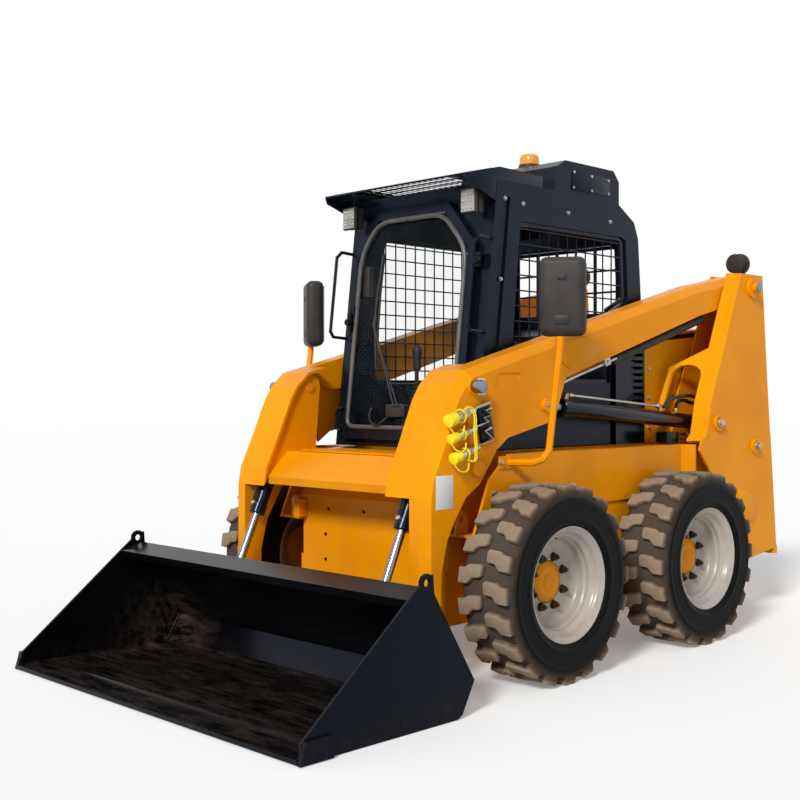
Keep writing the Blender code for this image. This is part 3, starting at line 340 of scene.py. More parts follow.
def addStudio():
    world = bpy.data.worlds.new("studioWorld")
    bpy.context.scene.world = world
    world.use_nodes = True
    tree = world.node_tree
    lighting = tree.nodes["Background"]
    lighting.inputs["Color"].default_value = linear("#F2F5FA")
    lighting.inputs["Strength"].default_value = studio["sky"]
    shown = tree.nodes.new("ShaderNodeBackground")
    shown.inputs["Color"].default_value = (1.0, 1.0, 1.0, 1.0)
    path = tree.nodes.new("ShaderNodeLightPath")
    mixer = tree.nodes.new("ShaderNodeMixShader")
    seen = path.outputs["Is Camera Ray"]
    for other in ("Is Glossy Ray", "Is Transmission Ray"):
        either = tree.nodes.new("ShaderNodeMath")
        either.operation = "MAXIMUM"
        tree.links.new(seen, either.inputs[0])
        tree.links.new(path.outputs[other], either.inputs[1])
        seen = either.outputs[0]
    tree.links.new(seen, mixer.inputs["Fac"])
    tree.links.new(lighting.outputs["Background"], mixer.inputs[1])
    tree.links.new(shown.outputs["Background"], mixer.inputs[2])
    tree.links.new(mixer.outputs["Shader"], tree.nodes["World Output"].inputs["Surface"])
    bpy.ops.object.select_all(action="DESELECT")
    bpy.ops.mesh.primitive_plane_add(size=60.0, location=(0.0, 0.0, 0.0))
    floor = bpy.context.object
    floor.name = "studioFloor"
    material, shader = newMaterial("studioPaper", {"Base Color": linear(studio["floor"]), "Roughness": 0.9,
                                                   "Emission Color": (1.0, 1.0, 1.0, 1.0)})
    # the camera alone sees the paper lifted towards white, with the shadow kept
    seen = addNode(material, "ShaderNodeLightPath")
    lifted = addNode(material, "ShaderNodeMath", {"operation": "MULTIPLY", 1: studio["lift"]},
                     {0: seen.outputs["Is Camera Ray"]})
    driveShader(material, shader, {"Emission Strength": lifted.outputs[0]})
    floor.data.materials.append(material)
    bpy.ops.object.light_add(type="SUN", rotation=(math.radians(studio["high"]), 0.0,
                                                   math.radians(studio["round"])))
    sun = bpy.context.object
    sun.name = "keyLight"
    sun.data.energy = studio["key"]
    sun.data.angle = math.radians(12)
    bpy.context.scene.view_settings.view_transform = "Standard"


# Modelling helpers: places are given from the front axle along y, and finishPiece moves them into the frame

axleY = -0.3285  # the front axle in the frame
sides = (("Left", 1), ("Right", -1))


def choose(*pieces):
    active = bpy.context.view_layer.objects.active
    if active and active.mode != "OBJECT":
        bpy.ops.object.mode_set(mode="OBJECT")
    bpy.ops.object.select_all(action="DESELECT")
    for piece in pieces:
        piece.select_set(True)
        bpy.context.view_layer.objects.active = piece


def applyPlace(piece):
    choose(piece)
    bpy.ops.object.transform_apply(location=True, rotation=True, scale=True)
    return piece


def applyModifier(piece, kind, settings):
    choose(piece)
    modifier = piece.modifiers.new(kind.lower(), kind)
    for name, value in settings.items():
        setattr(modifier, name, value)
    bpy.ops.object.modifier_apply(modifier=modifier.name)
    return piece


def roundEdges(piece, width, segments=2, angle=50.0):
    if not width:
        return piece
    return applyModifier(piece, "BEVEL", {"width": width, "segments": segments, "limit_method": "ANGLE",
                                          "angle_limit": math.radians(angle)})


def mendNormals():
    bpy.ops.mesh.select_all(action="SELECT")
    bpy.ops.mesh.remove_doubles(threshold=0.00002)
    bpy.ops.mesh.dissolve_degenerate(threshold=0.00001)
    bpy.ops.mesh.select_all(action="SELECT")
    bpy.ops.mesh.normals_make_consistent(inside=False)
    bpy.ops.object.mode_set(mode="OBJECT")


def addBlock(low, high, rounding=0.002, segments=2):
    choose()
    low, high = Vector(low), Vector(high)
    bpy.ops.mesh.primitive_cube_add(size=1.0, location=(low + high) / 2, scale=high - low)
    return roundEdges(applyPlace(bpy.context.object), rounding, segments)


def addDrum(start, end, radius, edges=24, rounding=0.001, endRadius=None):
    choose()
    start, end = Vector(start), Vector(end)
    bpy.ops.mesh.primitive_cone_add(vertices=edges, radius1=radius,
                                    radius2=radius if endRadius is None else endRadius,
                                    depth=(end - start).length, location=(start + end) / 2,
                                    rotation=(end - start).to_track_quat("Z", "Y").to_euler())
    return roundEdges(applyPlace(bpy.context.object), rounding, 2, 62.0 if edges > 6 else 50.0)


def layOutline(outline, level, axis, fill):
    # a ring of corners moved to the outline: (y, z) across x, (x, z) across y, (x, y) across z
    choose()
    bpy.ops.mesh.primitive_circle_add(vertices=len(outline), fill_type=fill)
    piece = bpy.context.object
    for corner, (across, up) in zip(piece.data.vertices, outline):
        corner.co = {"x": (level, across, up), "y": (across, level, up), "z": (across, up, level)}[axis]
    bpy.ops.object.mode_set(mode="EDIT")
    bpy.ops.mesh.select_all(action="SELECT")
    return piece


def pushOut(distance, axis):
    # what is selected, extruded along the axis
    push = [0.0, 0.0, 0.0]
    push["xyz".index(axis)] = distance
    bpy.ops.mesh.extrude_region_move(TRANSFORM_OT_translate={"value": push})
    mendNormals()


def addPlate(outline, low, high, axis="x", rounding=0.001, segments=2):
    piece = layOutline(outline, low, axis, "NGON")
    pushOut(high - low, axis)
    return roundEdges(piece, rounding, segments)


def addFrame(outline, width, low, high, axis="x"):
    # a flat ring: the outline is inset, its middle is taken out, and it is pushed from low to high
    piece = layOutline(outline, low, axis, "NGON")
    bpy.ops.mesh.inset(thickness=width)
    bpy.ops.mesh.delete(type="FACE")
    bpy.ops.mesh.select_all(action="SELECT")
    pushOut(high - low, axis)
    return piece


def addSpun(profile, steps=32, axis=(1, 0, 0), place=(0, 0, 0)):
    # a closed outline of (radius, distance along the axis) swept once round
    piece = layOutline([(along, radius) for radius, along in profile], 0.0, "y", "NOTHING")
    bpy.ops.mesh.spin(steps=steps, angle=math.tau, center=(0, 0, 0), axis=(1, 0, 0))
    mendNormals()
    piece.rotation_euler = Vector(axis).to_track_quat("X", "Z").to_euler()
    piece.location = place
    return applyPlace(piece)


def addPipe(points, radius, handles="AUTO", closed=False, around=3):
    choose()
    bpy.ops.curve.primitive_bezier_curve_add()
    piece = bpy.context.object
    piece.data.bevel_depth, piece.data.bevel_resolution = radius, around
    piece.data.resolution_u = 8 if handles == "AUTO" else 1
    piece.data.use_fill_caps = True
    spline = piece.data.splines[0]
    spline.bezier_points.add(len(points) - 2)
    for point, place in zip(spline.bezier_points, points):
        point.co = place
        point.handle_left_type = point.handle_right_type = handles
    spline.use_cyclic_u = closed
    bpy.ops.object.convert(target="MESH")
    return bpy.context.object


def joinPieces(pieces):
    choose(*pieces)
    if len(pieces) > 1:
        bpy.ops.object.join()
    return bpy.context.object


def copyPiece(piece):
    choose(piece)
    bpy.ops.object.duplicate(linked=False)
    return bpy.context.object


def copyTo(master, places):
    # one copy of a piece made at the origin along +z for each (point, direction), joined
    copies = []
    for point, direction in places:
        copy = copyPiece(master)
        copy.location = point
        copy.rotation_euler = Vector(direction).to_track_quat("Z", "Y").to_euler()
        copies.append(applyPlace(copy))
    bpy.data.objects.remove(master)
    return joinPieces(copies)


def mirrored(piece):
    # the same piece on the other side of the machine
    copy = copyPiece(piece)
    copy.scale.x = -1.0
    applyPlace(copy)
    bpy.ops.object.mode_set(mode="EDIT")
    mendNormals()
    return copy


def finishPiece(piece, name, finish, body, smooth=40.0):
    choose(piece)
    bpy.ops.object.shade_smooth_by_angle(angle=math.radians(smooth))
    piece.location.y += axleY
    applyPlace(piece)
    piece.name = piece.data.name = name
    piece.data.materials.clear()
    piece.data.materials.append(materials[finish] if isinstance(finish, str) else finish)
    if body:
        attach(piece, body)
    return piece


def makeBolt(size, height):
    # a hexagon head on its washer, at the origin along +z
    washer = addDrum((0, 0, -0.001), (0, 0, 0.0020), size * 0.72, 20, 0.0005)
    head = addDrum((0, 0, 0.0015), (0, 0, height), size * 0.56, 6, 0.0008)
    return joinPieces([washer, head])


def addBolts(name, size, height, places, body="chassis", finish="steel"):
    # a bolt at each (point, direction), all of them one piece
    finishPiece(copyTo(makeBolt(size, height), places), name, finish, body)


# Wheels

wheel = {
    "x": 0.756, "z": 0.385, "rows": (("Front", 0.0), ("Rear", 1.0)),
    # the carcass from bead over sidewall to the middle of the tread: (radius, distance from the middle)
    "carcass": ((0.2085, 0.098), (0.213, 0.108), (0.222, 0.1135), (0.2305, 0.1165), (0.234, 0.1215),
                (0.240, 0.1225), (0.244, 0.1265), (0.252, 0.1278), (0.2545, 0.1292), (0.2565, 0.1282),
                (0.278, 0.1292), (0.300, 0.1294), (0.318, 0.1288), (0.320, 0.1299), (0.322, 0.1286),
                (0.334, 0.1284), (0.338, 0.1272), (0.3405, 0.1240), (0.346, 0.1225), (0.352, 0.1180),
                (0.3565, 0.1080), (0.3605, 0.0940), (0.3635, 0.050), (0.3640, 0.0)),
    # a lug in plan: (distance from the middle, distance round the tread)
    "lug": ((0.1225, -0.038), (0.1225, 0.034), (0.092, 0.035), (0.070, 0.049), (0.012, 0.054), (0.003, 0.044),
            (0.005, 0.004), (0.014, -0.006), (0.050, -0.009), (0.076, -0.037)),
    "lugFoot": 0.336, "lugTop": 0.385, "perSide": 20,
    # disc, well, outer lip, bead seat, inner lip and back to the disc, in the same terms
    "rim": ((0.0838, -0.006), (0.0838, 0.001), (0.140, 0.001), (0.150, 0.003), (0.168, 0.0105),
            (0.1745, 0.018), (0.1765, 0.030), (0.1765, 0.045), (0.1825, 0.051), (0.1835, 0.062),
            (0.1825, 0.068), (0.188, 0.075), (0.196, 0.082), (0.199, 0.090), (0.201, 0.099), (0.2075, 0.106),
            (0.215, 0.1095), (0.219, 0.115), (0.223, 0.118), (0.2265, 0.1165), (0.227, 0.112), (0.2235, 0.109),
            (0.215, 0.1045), (0.208, 0.100), (0.207, -0.100), (0.223, -0.112), (0.222, -0.117),
            (0.200, -0.100), (0.196, -0.030), (0.140, -0.010), (0.100, -0.010)),
    "nutRing": 0.1016, "nuts": 8,
}


def makeTyre():
    half = wheel["carcass"]
    carcass = addSpun(list(half) + [(r, -h) for r, h in reversed(half[:-1])], 60)
    lug = addPlate(wheel["lug"], wheel["lugFoot"], wheel["lugTop"], "z", 0.0)
    # the top is a little smaller than the foot
    bpy.ops.object.mode_set(mode="EDIT")
    bpy.ops.mesh.select_all(action="DESELECT")
    shape = bmesh.from_edit_mesh(lug.data)
    for corner in shape.verts:
        corner.select = corner.co.z > 0.38
    shape.select_flush(True)
    bmesh.update_edit_mesh(lug.data)
    bpy.ops.transform.resize(value=(0.94, 0.84, 1.0), center_override=(0.066, 0.004, 0.385))
    bpy.ops.object.mode_set(mode="OBJECT")
    roundEdges(lug, 0.0045, 2, 40.0)
    choose(lug)
    bpy.ops.object.mode_set(mode="EDIT")
    bpy.ops.mesh.select_all(action="SELECT")
    count = wheel["perSide"]
    bpy.ops.mesh.spin(steps=count - 1, dupli=True, angle=math.tau * (count - 1) / count,
                      center=(0, 0, 0), axis=(1, 0, 0))
    bpy.ops.object.mode_set(mode="OBJECT")
    other = mirrored(lug)
    other.rotation_euler.x = math.pi / count
    applyPlace(other)
    return joinPieces([lug, other, carcass])


def addWheels():
    tyre = makeTyre()
    rim = addSpun(wheel["rim"], 48)
    nut = joinPieces([addDrum((0, 0, 0.000), (0, 0, 0.004), 0.0190, 20, 0.001, 0.0165),
                      addDrum((0, 0, 0.003), (0, 0, 0.019), 0.0150, 6, 0.0015),
                      addDrum((0, 0, 0.015), (0, 0, 0.030), 0.0075, 12, 0.001)])
    ring = [(math.tau * (i + 0.5) / wheel["nuts"]) for i in range(wheel["nuts"])]
    nuts = copyTo(nut, [((0.001, wheel["nutRing"] * math.cos(a), wheel["nutRing"] * math.sin(a)), (1, 0, 0))
                        for a in ring])
    cap = addSpun(((0.0, 0.0145), (0.030, 0.0145), (0.032, 0.0135), (0.033, 0.011), (0.0, 0.011)), 32)
    valve = addPipe(((0.004, 0.0, 0.186), (0.030, 0.0, 0.180), (0.052, 0.0, 0.172)), 0.0032)
    masters = {"tyre": tyre, "rim": rim, "lugNuts": nuts, "hubCap": cap, "valve": valve}
    for row, y in wheel["rows"]:
        for side, sign in sides:
            node, body = f"{row.lower()}_{side.lower()}", f"wheel_{row.lower()}_{side.lower()}"
            made = {}
            for part, master in masters.items():
                copy = copyPiece(master)
                if part != "tyre":
                    copy.rotation_euler.z = 0.0 if sign > 0 else math.pi
                copy.location = (sign * wheel["x"], y, wheel["z"])
                made[part] = applyPlace(copy)
            name = row + side
            rubber = tyreRubber("tyreRubber" + name, (sign * wheel["x"], y + axleY, wheel["z"]))
            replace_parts(finishPiece(made["tyre"], "tyre" + name, rubber, body), "tyre_" + node)
            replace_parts(finishPiece(made["rim"], "rim" + name, "silver", body), "rim_" + node)
            finishPiece(made["lugNuts"], "lugNuts" + name, "bronze", body)
            finishPiece(made["hubCap"], "hubCap" + name, "yellow", body)
            finishPiece(made["valve"], "valveStem" + name, "hose", body)
    for master in masters.values():
        bpy.data.objects.remove(master)
    print("wheels made")


# Cab

cabFoot = {"y": -0.058, "z": 0.909, "lean": 0.117}


def onDoor(x, z, out):
    # a point in front of the leaning door's back face
    return (x, cabFoot["y"] + cabFoot["lean"] * (z - cabFoot["z"]) - 0.0008 - out, z)


screen = {
    "outline": ((0.170, 1.1705), (0.859, 1.1705), (0.859, 1.505), (0.985, 1.565), (0.970, 1.838),
                (0.948, 1.8545), (0.237, 1.8545), (0.212, 1.828), (0.152, 1.200)),
    "rim": 0.0155, "wire": 0.0034, "pitch": 0.066, "firstY": 0.235, "firstZ": 1.232,
    "upright": 0.4165, "level": 0.4218,  # how far out the upright and the level wires lie
}


def addSideScreens():
    for side, sign in sides:
        rim = addFrame(screen["outline"], screen["rim"], sign * 0.4125, sign * 0.4255)
        wires = [rim]
        for i in range(11):
            y = screen["firstY"] + screen["pitch"] * i
            # the frame's foot is level in front and climbs behind
            foot = 1.176 if y < 0.85 else 1.505 + (y - 0.859) * 0.476
            wires.append(addDrum((sign * screen["upright"], y, foot + 0.004),
                                 (sign * screen["upright"], y, 1.848), screen["wire"], 8, 0.0))
        for i in range(10):
            z = screen["firstZ"] + screen["pitch"] * i
            # its back edge steps out above the climb, and its front edge leans
            back = 0.855 if z < 1.51 else 0.900 if z < 1.56 else 0.972
            wires.append(addDrum((sign * screen["level"], 0.160 + 0.092 * (z - 1.20), z),
                                 (sign * screen["level"], back, z), screen["wire"], 8, 0.0))
        piece = finishPiece(joinPieces(wires), "sideScreen" + side, "black", "chassis")
        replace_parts(piece, "side_mesh_" + side.lower())
    print("side screens made")


doorSeal = {
    # each corner of the glass: x, z and the radius it is rounded to
    "corners": ((-0.311, 0.974, 0.030), (0.301, 0.974, 0.050), (0.316, 0.990, 0.030),
                (0.316, 1.731, 0.070), (0.167, 1.894, 0.070), (-0.240, 1.894, 0.070),
                (-0.337, 1.749, 0.070), (-0.337, 0.990, 0.030)),
}


def roundOff(corners, steps=4):
    # an outline whose corners are replaced by short curves
    points = []
    for i, (x, z, reach) in enumerate(corners):
        here = Vector((x, z))
        before, after = Vector(corners[i - 1][:2]), Vector(corners[(i + 1) % len(corners)][:2])
        start = here + (before - here).normalized() * min(reach, (before - here).length * 0.45)
        end = here + (after - here).normalized() * min(reach, (after - here).length * 0.45)
        for k in range(steps + 1):
            t = k / steps
            points.append(tuple(start * (1 - t) ** 2 + here * 2 * t * (1 - t) + end * t ** 2))
    return points


# places on the glass as (x, z)
wiper = {"pivot": (-0.012, 1.070), "elbow": (-0.200, 1.430), "tip": (-0.190, 1.740), "foot": (-0.176, 1.235)}


def addDoorFittings():
    seal = addPipe([onDoor(x, z, 0.028) for x, z in roundOff(doorSeal["corners"])], 0.0105, "VECTOR", True)
    finishPiece(seal, "doorGlassSeal", "gasket", "cab_door", 60.0)
    motor = addBlock((-0.070, -0.040, 1.020), (0.046, 0.0, 1.076), 0.008, 3)
    motor.location.y = onDoor(0, 1.045, 0.012)[1]
    arms = [applyPlace(motor)]
    for shift in (0.0, 0.022):
        foot = onDoor(wiper["pivot"][0] + shift, wiper["pivot"][1], 0.058)
        elbow = onDoor(wiper["elbow"][0] + shift * 0.6, wiper["elbow"][1] - shift, 0.046)
        top = onDoor(wiper["elbow"][0] + 0.004, wiper["elbow"][1] + 0.05 - shift * 2, 0.040)
        arms.append(addPipe([foot, elbow, top], 0.0042, "VECTOR"))
        arms.append(addDrum(onDoor(wiper["pivot"][0] + shift, wiper["pivot"][1], 0.040), foot, 0.009, 16))
    spine = [onDoor(*wiper["foot"], 0.030), onDoor(-0.196, 1.480, 0.040), onDoor(*wiper["tip"], 0.030)]
    arms.append(addPipe(spine, 0.0050))
    finishPiece(joinPieces(arms), "doorWiper", "plastic", "cab_door")
    blade = [onDoor(wiper["foot"][0] + 0.001, wiper["foot"][1] - 0.010, 0.022),
             onDoor(-0.194, 1.480, 0.022), onDoor(wiper["tip"][0], wiper["tip"][1] + 0.010, 0.022)]
    finishPiece(addPipe(blade, 0.0045), "wiperBlade", "hose", "cab_door")
    lead = [onDoor(x, z, out) for x, z, out in ((-0.055, 1.030, 0.035), (-0.085, 1.000, 0.050),
                                                (-0.120, 0.985, 0.048), (-0.165, 1.000, 0.044),
                                                (-0.185, 1.030, 0.036), (-0.180, 1.060, 0.030))]
    finishPiece(addPipe(lead, 0.0042), "wiperLead", "hose", "cab_door")
    latch = [addBlock((-0.382, -0.012, 1.370), (-0.338, 0.0, 1.520), 0.003),
             addBlock((-0.372, -0.026, 1.400), (-0.348, -0.010, 1.490), 0.004),
             addDrum((-0.360, -0.040, 1.445), (-0.360, -0.020, 1.445), 0.015, 24, 0.002)]
    latch = joinPieces(latch)
    latch.location.y = onDoor(0, 1.445, 0.027)[1]
    finishPiece(applyPlace(latch), "doorLatch", "black", "cab_door")
    handle = addPipe([onDoor(x, z, out) for x, z, out in (
        (-0.366, 1.052, 0.024), (-0.372, 1.056, 0.040), (-0.384, 1.048, 0.048), (-0.386, 1.005, 0.050),
        (-0.384, 0.964, 0.048), (-0.372, 0.958, 0.040), (-0.366, 0.960, 0.024))], 0.0052)
    finishPiece(handle, "doorPull", "black", "cab_door")
    knobs = []
    for z in (1.078, 1.678):
        x, y, z = onDoor(0.393, z, 0.036)
        knobs += [addBlock((x - 0.032, y - 0.002, z - 0.030), (x + 0.012, y + 0.010, z + 0.030), 0.003),
                  addDrum((x, y - 0.022, z), (x, y, z), 0.020, 24, 0.003),
                  copyTo(makeBolt(0.011, 0.006),
                         [((x - 0.021, y - 0.002, z + dz), (0, -1, 0)) for dz in (-0.021, 0.021)])]
    finishPiece(joinPieces(knobs), "doorHingeKnobs", "black", "cab_door")


def addLamps():
    # two square work lamps under the visor, with ribbed backs and dimpled lenses
    for side, sign in sides:
        x = sign * 0.370
        body = [addBlock((x - 0.043, -0.0385, 1.868), (x + 0.043, -0.020, 1.972), 0.006, 3)]
        for i in range(6):
            body.append(addBlock((x - 0.037 + i * 0.0138, -0.012, 1.874),
                                 (x - 0.032 + i * 0.0138, 0.018, 1.966), 0.001))
        finishPiece(joinPieces(body), "workLampBody" + side, "plastic", "chassis")
        lens = [addBlock((x - 0.037, -0.0425, 1.874), (x + 0.037, -0.037, 1.966), 0.003)]
        dimple = addDrum((0, 0, 0), (0, 0, 0.003), 0.0105, 20, 0.0012, 0.007)
        spots = [((x + across * 0.0235, -0.0422, 1.920 + up * 0.0285), (0, -1, 0))
                 for across in (-1, 0, 1) for up in (-1, 0, 1)]
        lens.append(copyTo(dimple, spots))
        finishPiece(joinPieces(lens), "workLampLens" + side, "lens", "chassis")


beacon = {"x": 0.020, "y": 0.775, "ribs": 36, "ribRing": 0.0465}
airUnitCover = {
    "outline": ((0.745, 2.069), (1.040, 2.072), (1.040, 2.155), (0.752, 2.163)),
    "screws": ((0.757, 2.080), (0.896, 2.081), (1.029, 2.083), (0.761, 2.153), (0.896, 2.149),
               (1.029, 2.145)),
}


def addRoofFittings():
    spot = (beacon["x"], beacon["y"], 0)
    base = addSpun(((0.0, 2.201), (0.055, 2.201), (0.055, 2.208), (0.052, 2.212), (0.052, 2.220),
                    (0.049, 2.224), (0.0, 2.224)), 40, (0, 0, 1), spot)
    finishPiece(base, "beaconBase", "plastic", "chassis")
    dome = addSpun(((0.0, 2.224), (0.047, 2.224), (0.0465, 2.240), (0.044, 2.262), (0.040, 2.270),
                    (0.032, 2.274), (0.0, 2.275)), 48, (0, 0, 1), spot)
    rib = addDrum((0.0, 0.0, 0.0), (-0.0030, 0.0, 0.036), 0.0015, 6, 0.0)
    ribs = []
    for i in range(beacon["ribs"]):
        turn = math.tau * i / beacon["ribs"]
        copy = copyPiece(rib)
        copy.location = (beacon["x"] + beacon["ribRing"] * math.cos(turn),
                         beacon["y"] + beacon["ribRing"] * math.sin(turn), 2.225)
        copy.rotation_euler.z = turn
        ribs.append(applyPlace(copy))
    bpy.data.objects.remove(rib)
    lamp = finishPiece(joinPieces([dome] + ribs), "beaconDome", "amber", "chassis")
    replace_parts(lamp, "beacon")
    covers, screws = [], []
    for sign in (1, -1):
        x = sign * 0.3005
        covers.append(addPlate(airUnitCover["outline"], x, x + sign * 0.003, rounding=0.0008))
        screws += [((x + sign * 0.003, y, z), (sign, 0, 0)) for y, z in airUnitCover["screws"]]
    finishPiece(joinPieces(covers), "airUnitCovers", "cab", "chassis")
    addBolts("airUnitScrews", 0.010, 0.005, screws)
    bolts = [((sign * 0.4362, y, z), (sign, 0, 0)) for sign in (1, -1)
             for y, z in ((0.118, 1.940), (0.235, 1.930), (0.544, 1.925), (0.858, 1.918), (0.090, 1.600))]
    addBolts("cabRoofBolts", 0.013, 0.008, bolts)


visor = {
    # where the strips across the sheet lie, from front to back, and the two slotted groups in x
    "rows": (-0.066, -0.012, 0.042, 0.092, 0.160, 0.228, 0.296, 0.364),
    "groups": ((-0.405, 0.110), (0.190, 0.405)),
    "half": 0.435, "pitch": 0.036, "strip": 0.0065, "bar": 0.0050, "lean": 0.022,
}


def visorTop(y):
    # the height of the sheet, which rises to a fold and then runs nearly level
    return 2.016 + (y + 0.126) * 0.2477 if y < 0.088 else 2.069 - (y - 0.088) * 0.0106


def addVisor():
    # the roof guard: a solid lip, strips along it, and slanted bars between them that leave the slots
    half, groups = visor["half"], visor["groups"]
    parts = [addPlate(((-0.126, 2.016), (-0.062, 2.0318), (-0.062, 2.0240), (-0.124, 2.008)), -half, half)]
    for y in visor["rows"]:
        parts.append(addBlock((-half, y - visor["strip"], visorTop(y) - 0.0038),
                              (half, y + visor["strip"], visorTop(y) - 0.0004), 0.0006))
    for y, after in zip(visor["rows"], visor["rows"][1:]):
        middle, rise = (y + after) / 2, math.atan2(visorTop(after) - visorTop(y), after - y)
        for low, high in ((-half, groups[0][0]), (groups[0][1], groups[1][0]), (groups[1][1], half)):
            flat = addBlock((low, y - middle, -0.0034), (high, after - middle, -0.0008), 0.0004)
            flat.rotation_euler.x, flat.location = rise, (0, middle, (visorTop(y) + visorTop(after)) / 2)
            parts.append(applyPlace(flat))
        for low, high in groups:
            bar = addPlate(((low, y - middle), (low + 2 * visor["bar"], y - middle),
                            (low + 2 * visor["bar"] + visor["lean"], after - middle),
                            (low + visor["lean"], after - middle)), -0.0032, -0.0010, "z", 0.0)
            applyModifier(bar, "ARRAY", {
                "count": int((high - low) / visor["pitch"]), "use_relative_offset": False,
                "use_constant_offset": True, "constant_offset_displace": (visor["pitch"], 0, 0)})
            bar.rotation_euler.x, bar.location = rise, (0, middle, (visorTop(y) + visorTop(after)) / 2)
            parts.append(applyPlace(bar))
    for sign in (1, -1):
        x = sign * 0.370
        parts.append(addPlate(((-0.125, 2.012), (-0.114, 1.983), (0.0585, 1.925), (0.0685, 2.0135),
                               (0.369, 2.0135), (0.369, 2.062), (0.089, 2.065)), sign * 0.428, sign * 0.436))
        parts.append(addBlock((x - 0.008, -0.014, 1.960), (x + 0.008, 0.002, 2.034), 0.002))
    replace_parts(finishPiece(joinPieces(parts), "roofGuard", "cab", "chassis"), "roof_guard")


mirror = {"x": 0.770, "y": 0.085, "turn": 33}


def addMirrors():
    for side, sign in sides:
        head = addBlock((-0.093, -0.042, 1.350), (0.093, 0.042, 1.665), 0.030, 5)
        tablet = joinPieces([addBlock((-0.030, -0.0450, 1.395), (0.030, -0.0400, 1.432), 0.0015),
                             addBlock((-0.018, -0.0450, 1.570), (0.018, -0.0400, 1.594), 0.0015)])
        glass = addBlock((-0.076, 0.0400, 1.372), (0.076, 0.0440, 1.643), 0.002)
        for piece in (head, tablet, glass):
            piece.rotation_euler.z = math.radians(sign * mirror["turn"])
            piece.location = (sign * mirror["x"], mirror["y"], 0.0)
            applyPlace(piece)
        shell = finishPiece(joinPieces([tablet, head]), "mirrorHead" + side, "plastic", "chassis",
                            50)
        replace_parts(shell, "mirror_" + side.lower())
        finishPiece(glass, "mirrorGlass" + side, "mirror", "chassis")


def stuffPad(piece, cap):
    # cloth blown up from a slightly smaller closed shape, each point moving no further than cap
    applyModifier(piece, "REMESH", {"mode": "VOXEL", "voxel_size": 0.006})
    before = [vertex.co.copy() for vertex in piece.data.vertices]
    choose(piece)
    cloth = piece.modifiers.new("cloth", "CLOTH")
    cloth.settings.use_pressure = True
    cloth.settings.uniform_pressure_force = 4.0
    cloth.settings.effector_weights.gravity = 0.0
    for step in range(1, 21):
        bpy.context.scene.frame_set(step)
    bpy.ops.object.modifier_apply(modifier=cloth.name)
    bpy.context.scene.frame_set(1)
    for vertex, start in zip(piece.data.vertices, before):
        moved = vertex.co - start
        if moved.length > cap:
            vertex.co = start + moved * (cap / moved.length)
    return piece


def addSeat():
    base = [addBlock((-0.200, 0.300, 0.3305), (0.200, 0.760, 0.640), 0.012, 3),
            addPlate(((0.665, 0.660), (0.735, 1.300), (0.765, 1.315), (0.760, 0.660)), -0.205, 0.205,
                     rounding=0.010)]
    for sign in (1, -1):
        low, high = sorted((sign * 0.262, sign * 0.360))
        base.append(addPlate(((0.270, 0.600), (0.250, 0.852), (0.275, 0.880), (0.620, 0.880), (0.620, 0.600)),
                             low, high, rounding=0.012, segments=3))
        base.append(addBlock((low + 0.015, 0.430, 0.878), (high - 0.015, 0.640, 0.925), 0.016, 3))
    body = finishPiece(joinPieces(base), "seatFrame", "plastic", "chassis")
    cushion = addBlock((-0.238, 0.272, 0.665), (0.238, 0.700, 0.745), 0.022, 2)
    back = addPlate(((0.600, 0.760), (0.652, 1.100), (0.682, 1.290), (0.728, 1.290), (0.680, 0.760)),
                    -0.215, 0.215, rounding=0.018, segments=2)
    for piece, name in ((cushion, "seatCushion"), (back, "seatBack")):
        stuffPad(piece, 0.012)
        applyModifier(piece, "SUBSURF", {"levels": 1, "render_levels": 1})
        finishPiece(piece, name, "vinyl", "chassis", 80.0)
    channels = [addPipe(((-0.205, y, 0.7615), (0.0, y, 0.7640), (0.205, y, 0.7615)), 0.0035)
                for y in (0.36, 0.61)]
    finishPiece(joinPieces(channels), "seatPiping", "vinyl", "chassis")
    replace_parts(body, "seat")
    print("seat made")


def addControls():
    grip = ((0.0, 1.192), (0.014, 1.190), (0.021, 1.180), (0.025, 1.160), (0.022, 1.140), (0.019, 1.115),
            (0.020, 1.090), (0.017, 1.075), (0.008, 1.070), (0.008, 1.010), (0.0, 1.010))
    folds = [(0.0, 1.015), (0.014, 1.015)]
    for i in range(7):
        z = 1.008 - i * 0.018
        folds += [(0.022 + i * 0.0035, z), (0.014 + i * 0.0035, z - 0.009)]
    folds += [(0.052, 0.880), (0.0, 0.880)]
    for side, sign in sides:
        pod = addBlock((sign * 0.300 - 0.055, 0.275, 0.872), (sign * 0.300 + 0.055, 0.420, 1.045), 0.016, 3)
        finishPiece(pod, "stickPod" + side, "plastic", "chassis")
        # both profiles are drawn for a stick on the console, and stand 160 mm higher on the pod
        stick = addSpun(grip, 24, (0, 0, 1), (sign * 0.300, 0.330, 0.160))
        finishPiece(stick, "controlStick" + side, "plastic", "chassis")
        bellows = addSpun(folds, 24, (0, 0, 1), (sign * 0.300, 0.330, 0.160))
        finishPiece(bellows, "stickBellows" + side, "hose", "chassis")
    monitor = [addBlock((-0.395, 0.020, 1.560), (-0.300, 0.055, 1.700), 0.008, 3),
               addBlock((-0.402, 0.050, 1.600), (-0.380, 0.090, 1.650), 0.003)]
    finishPiece(joinPieces(monitor), "cabMonitor", "plastic", "chassis")


# Boom

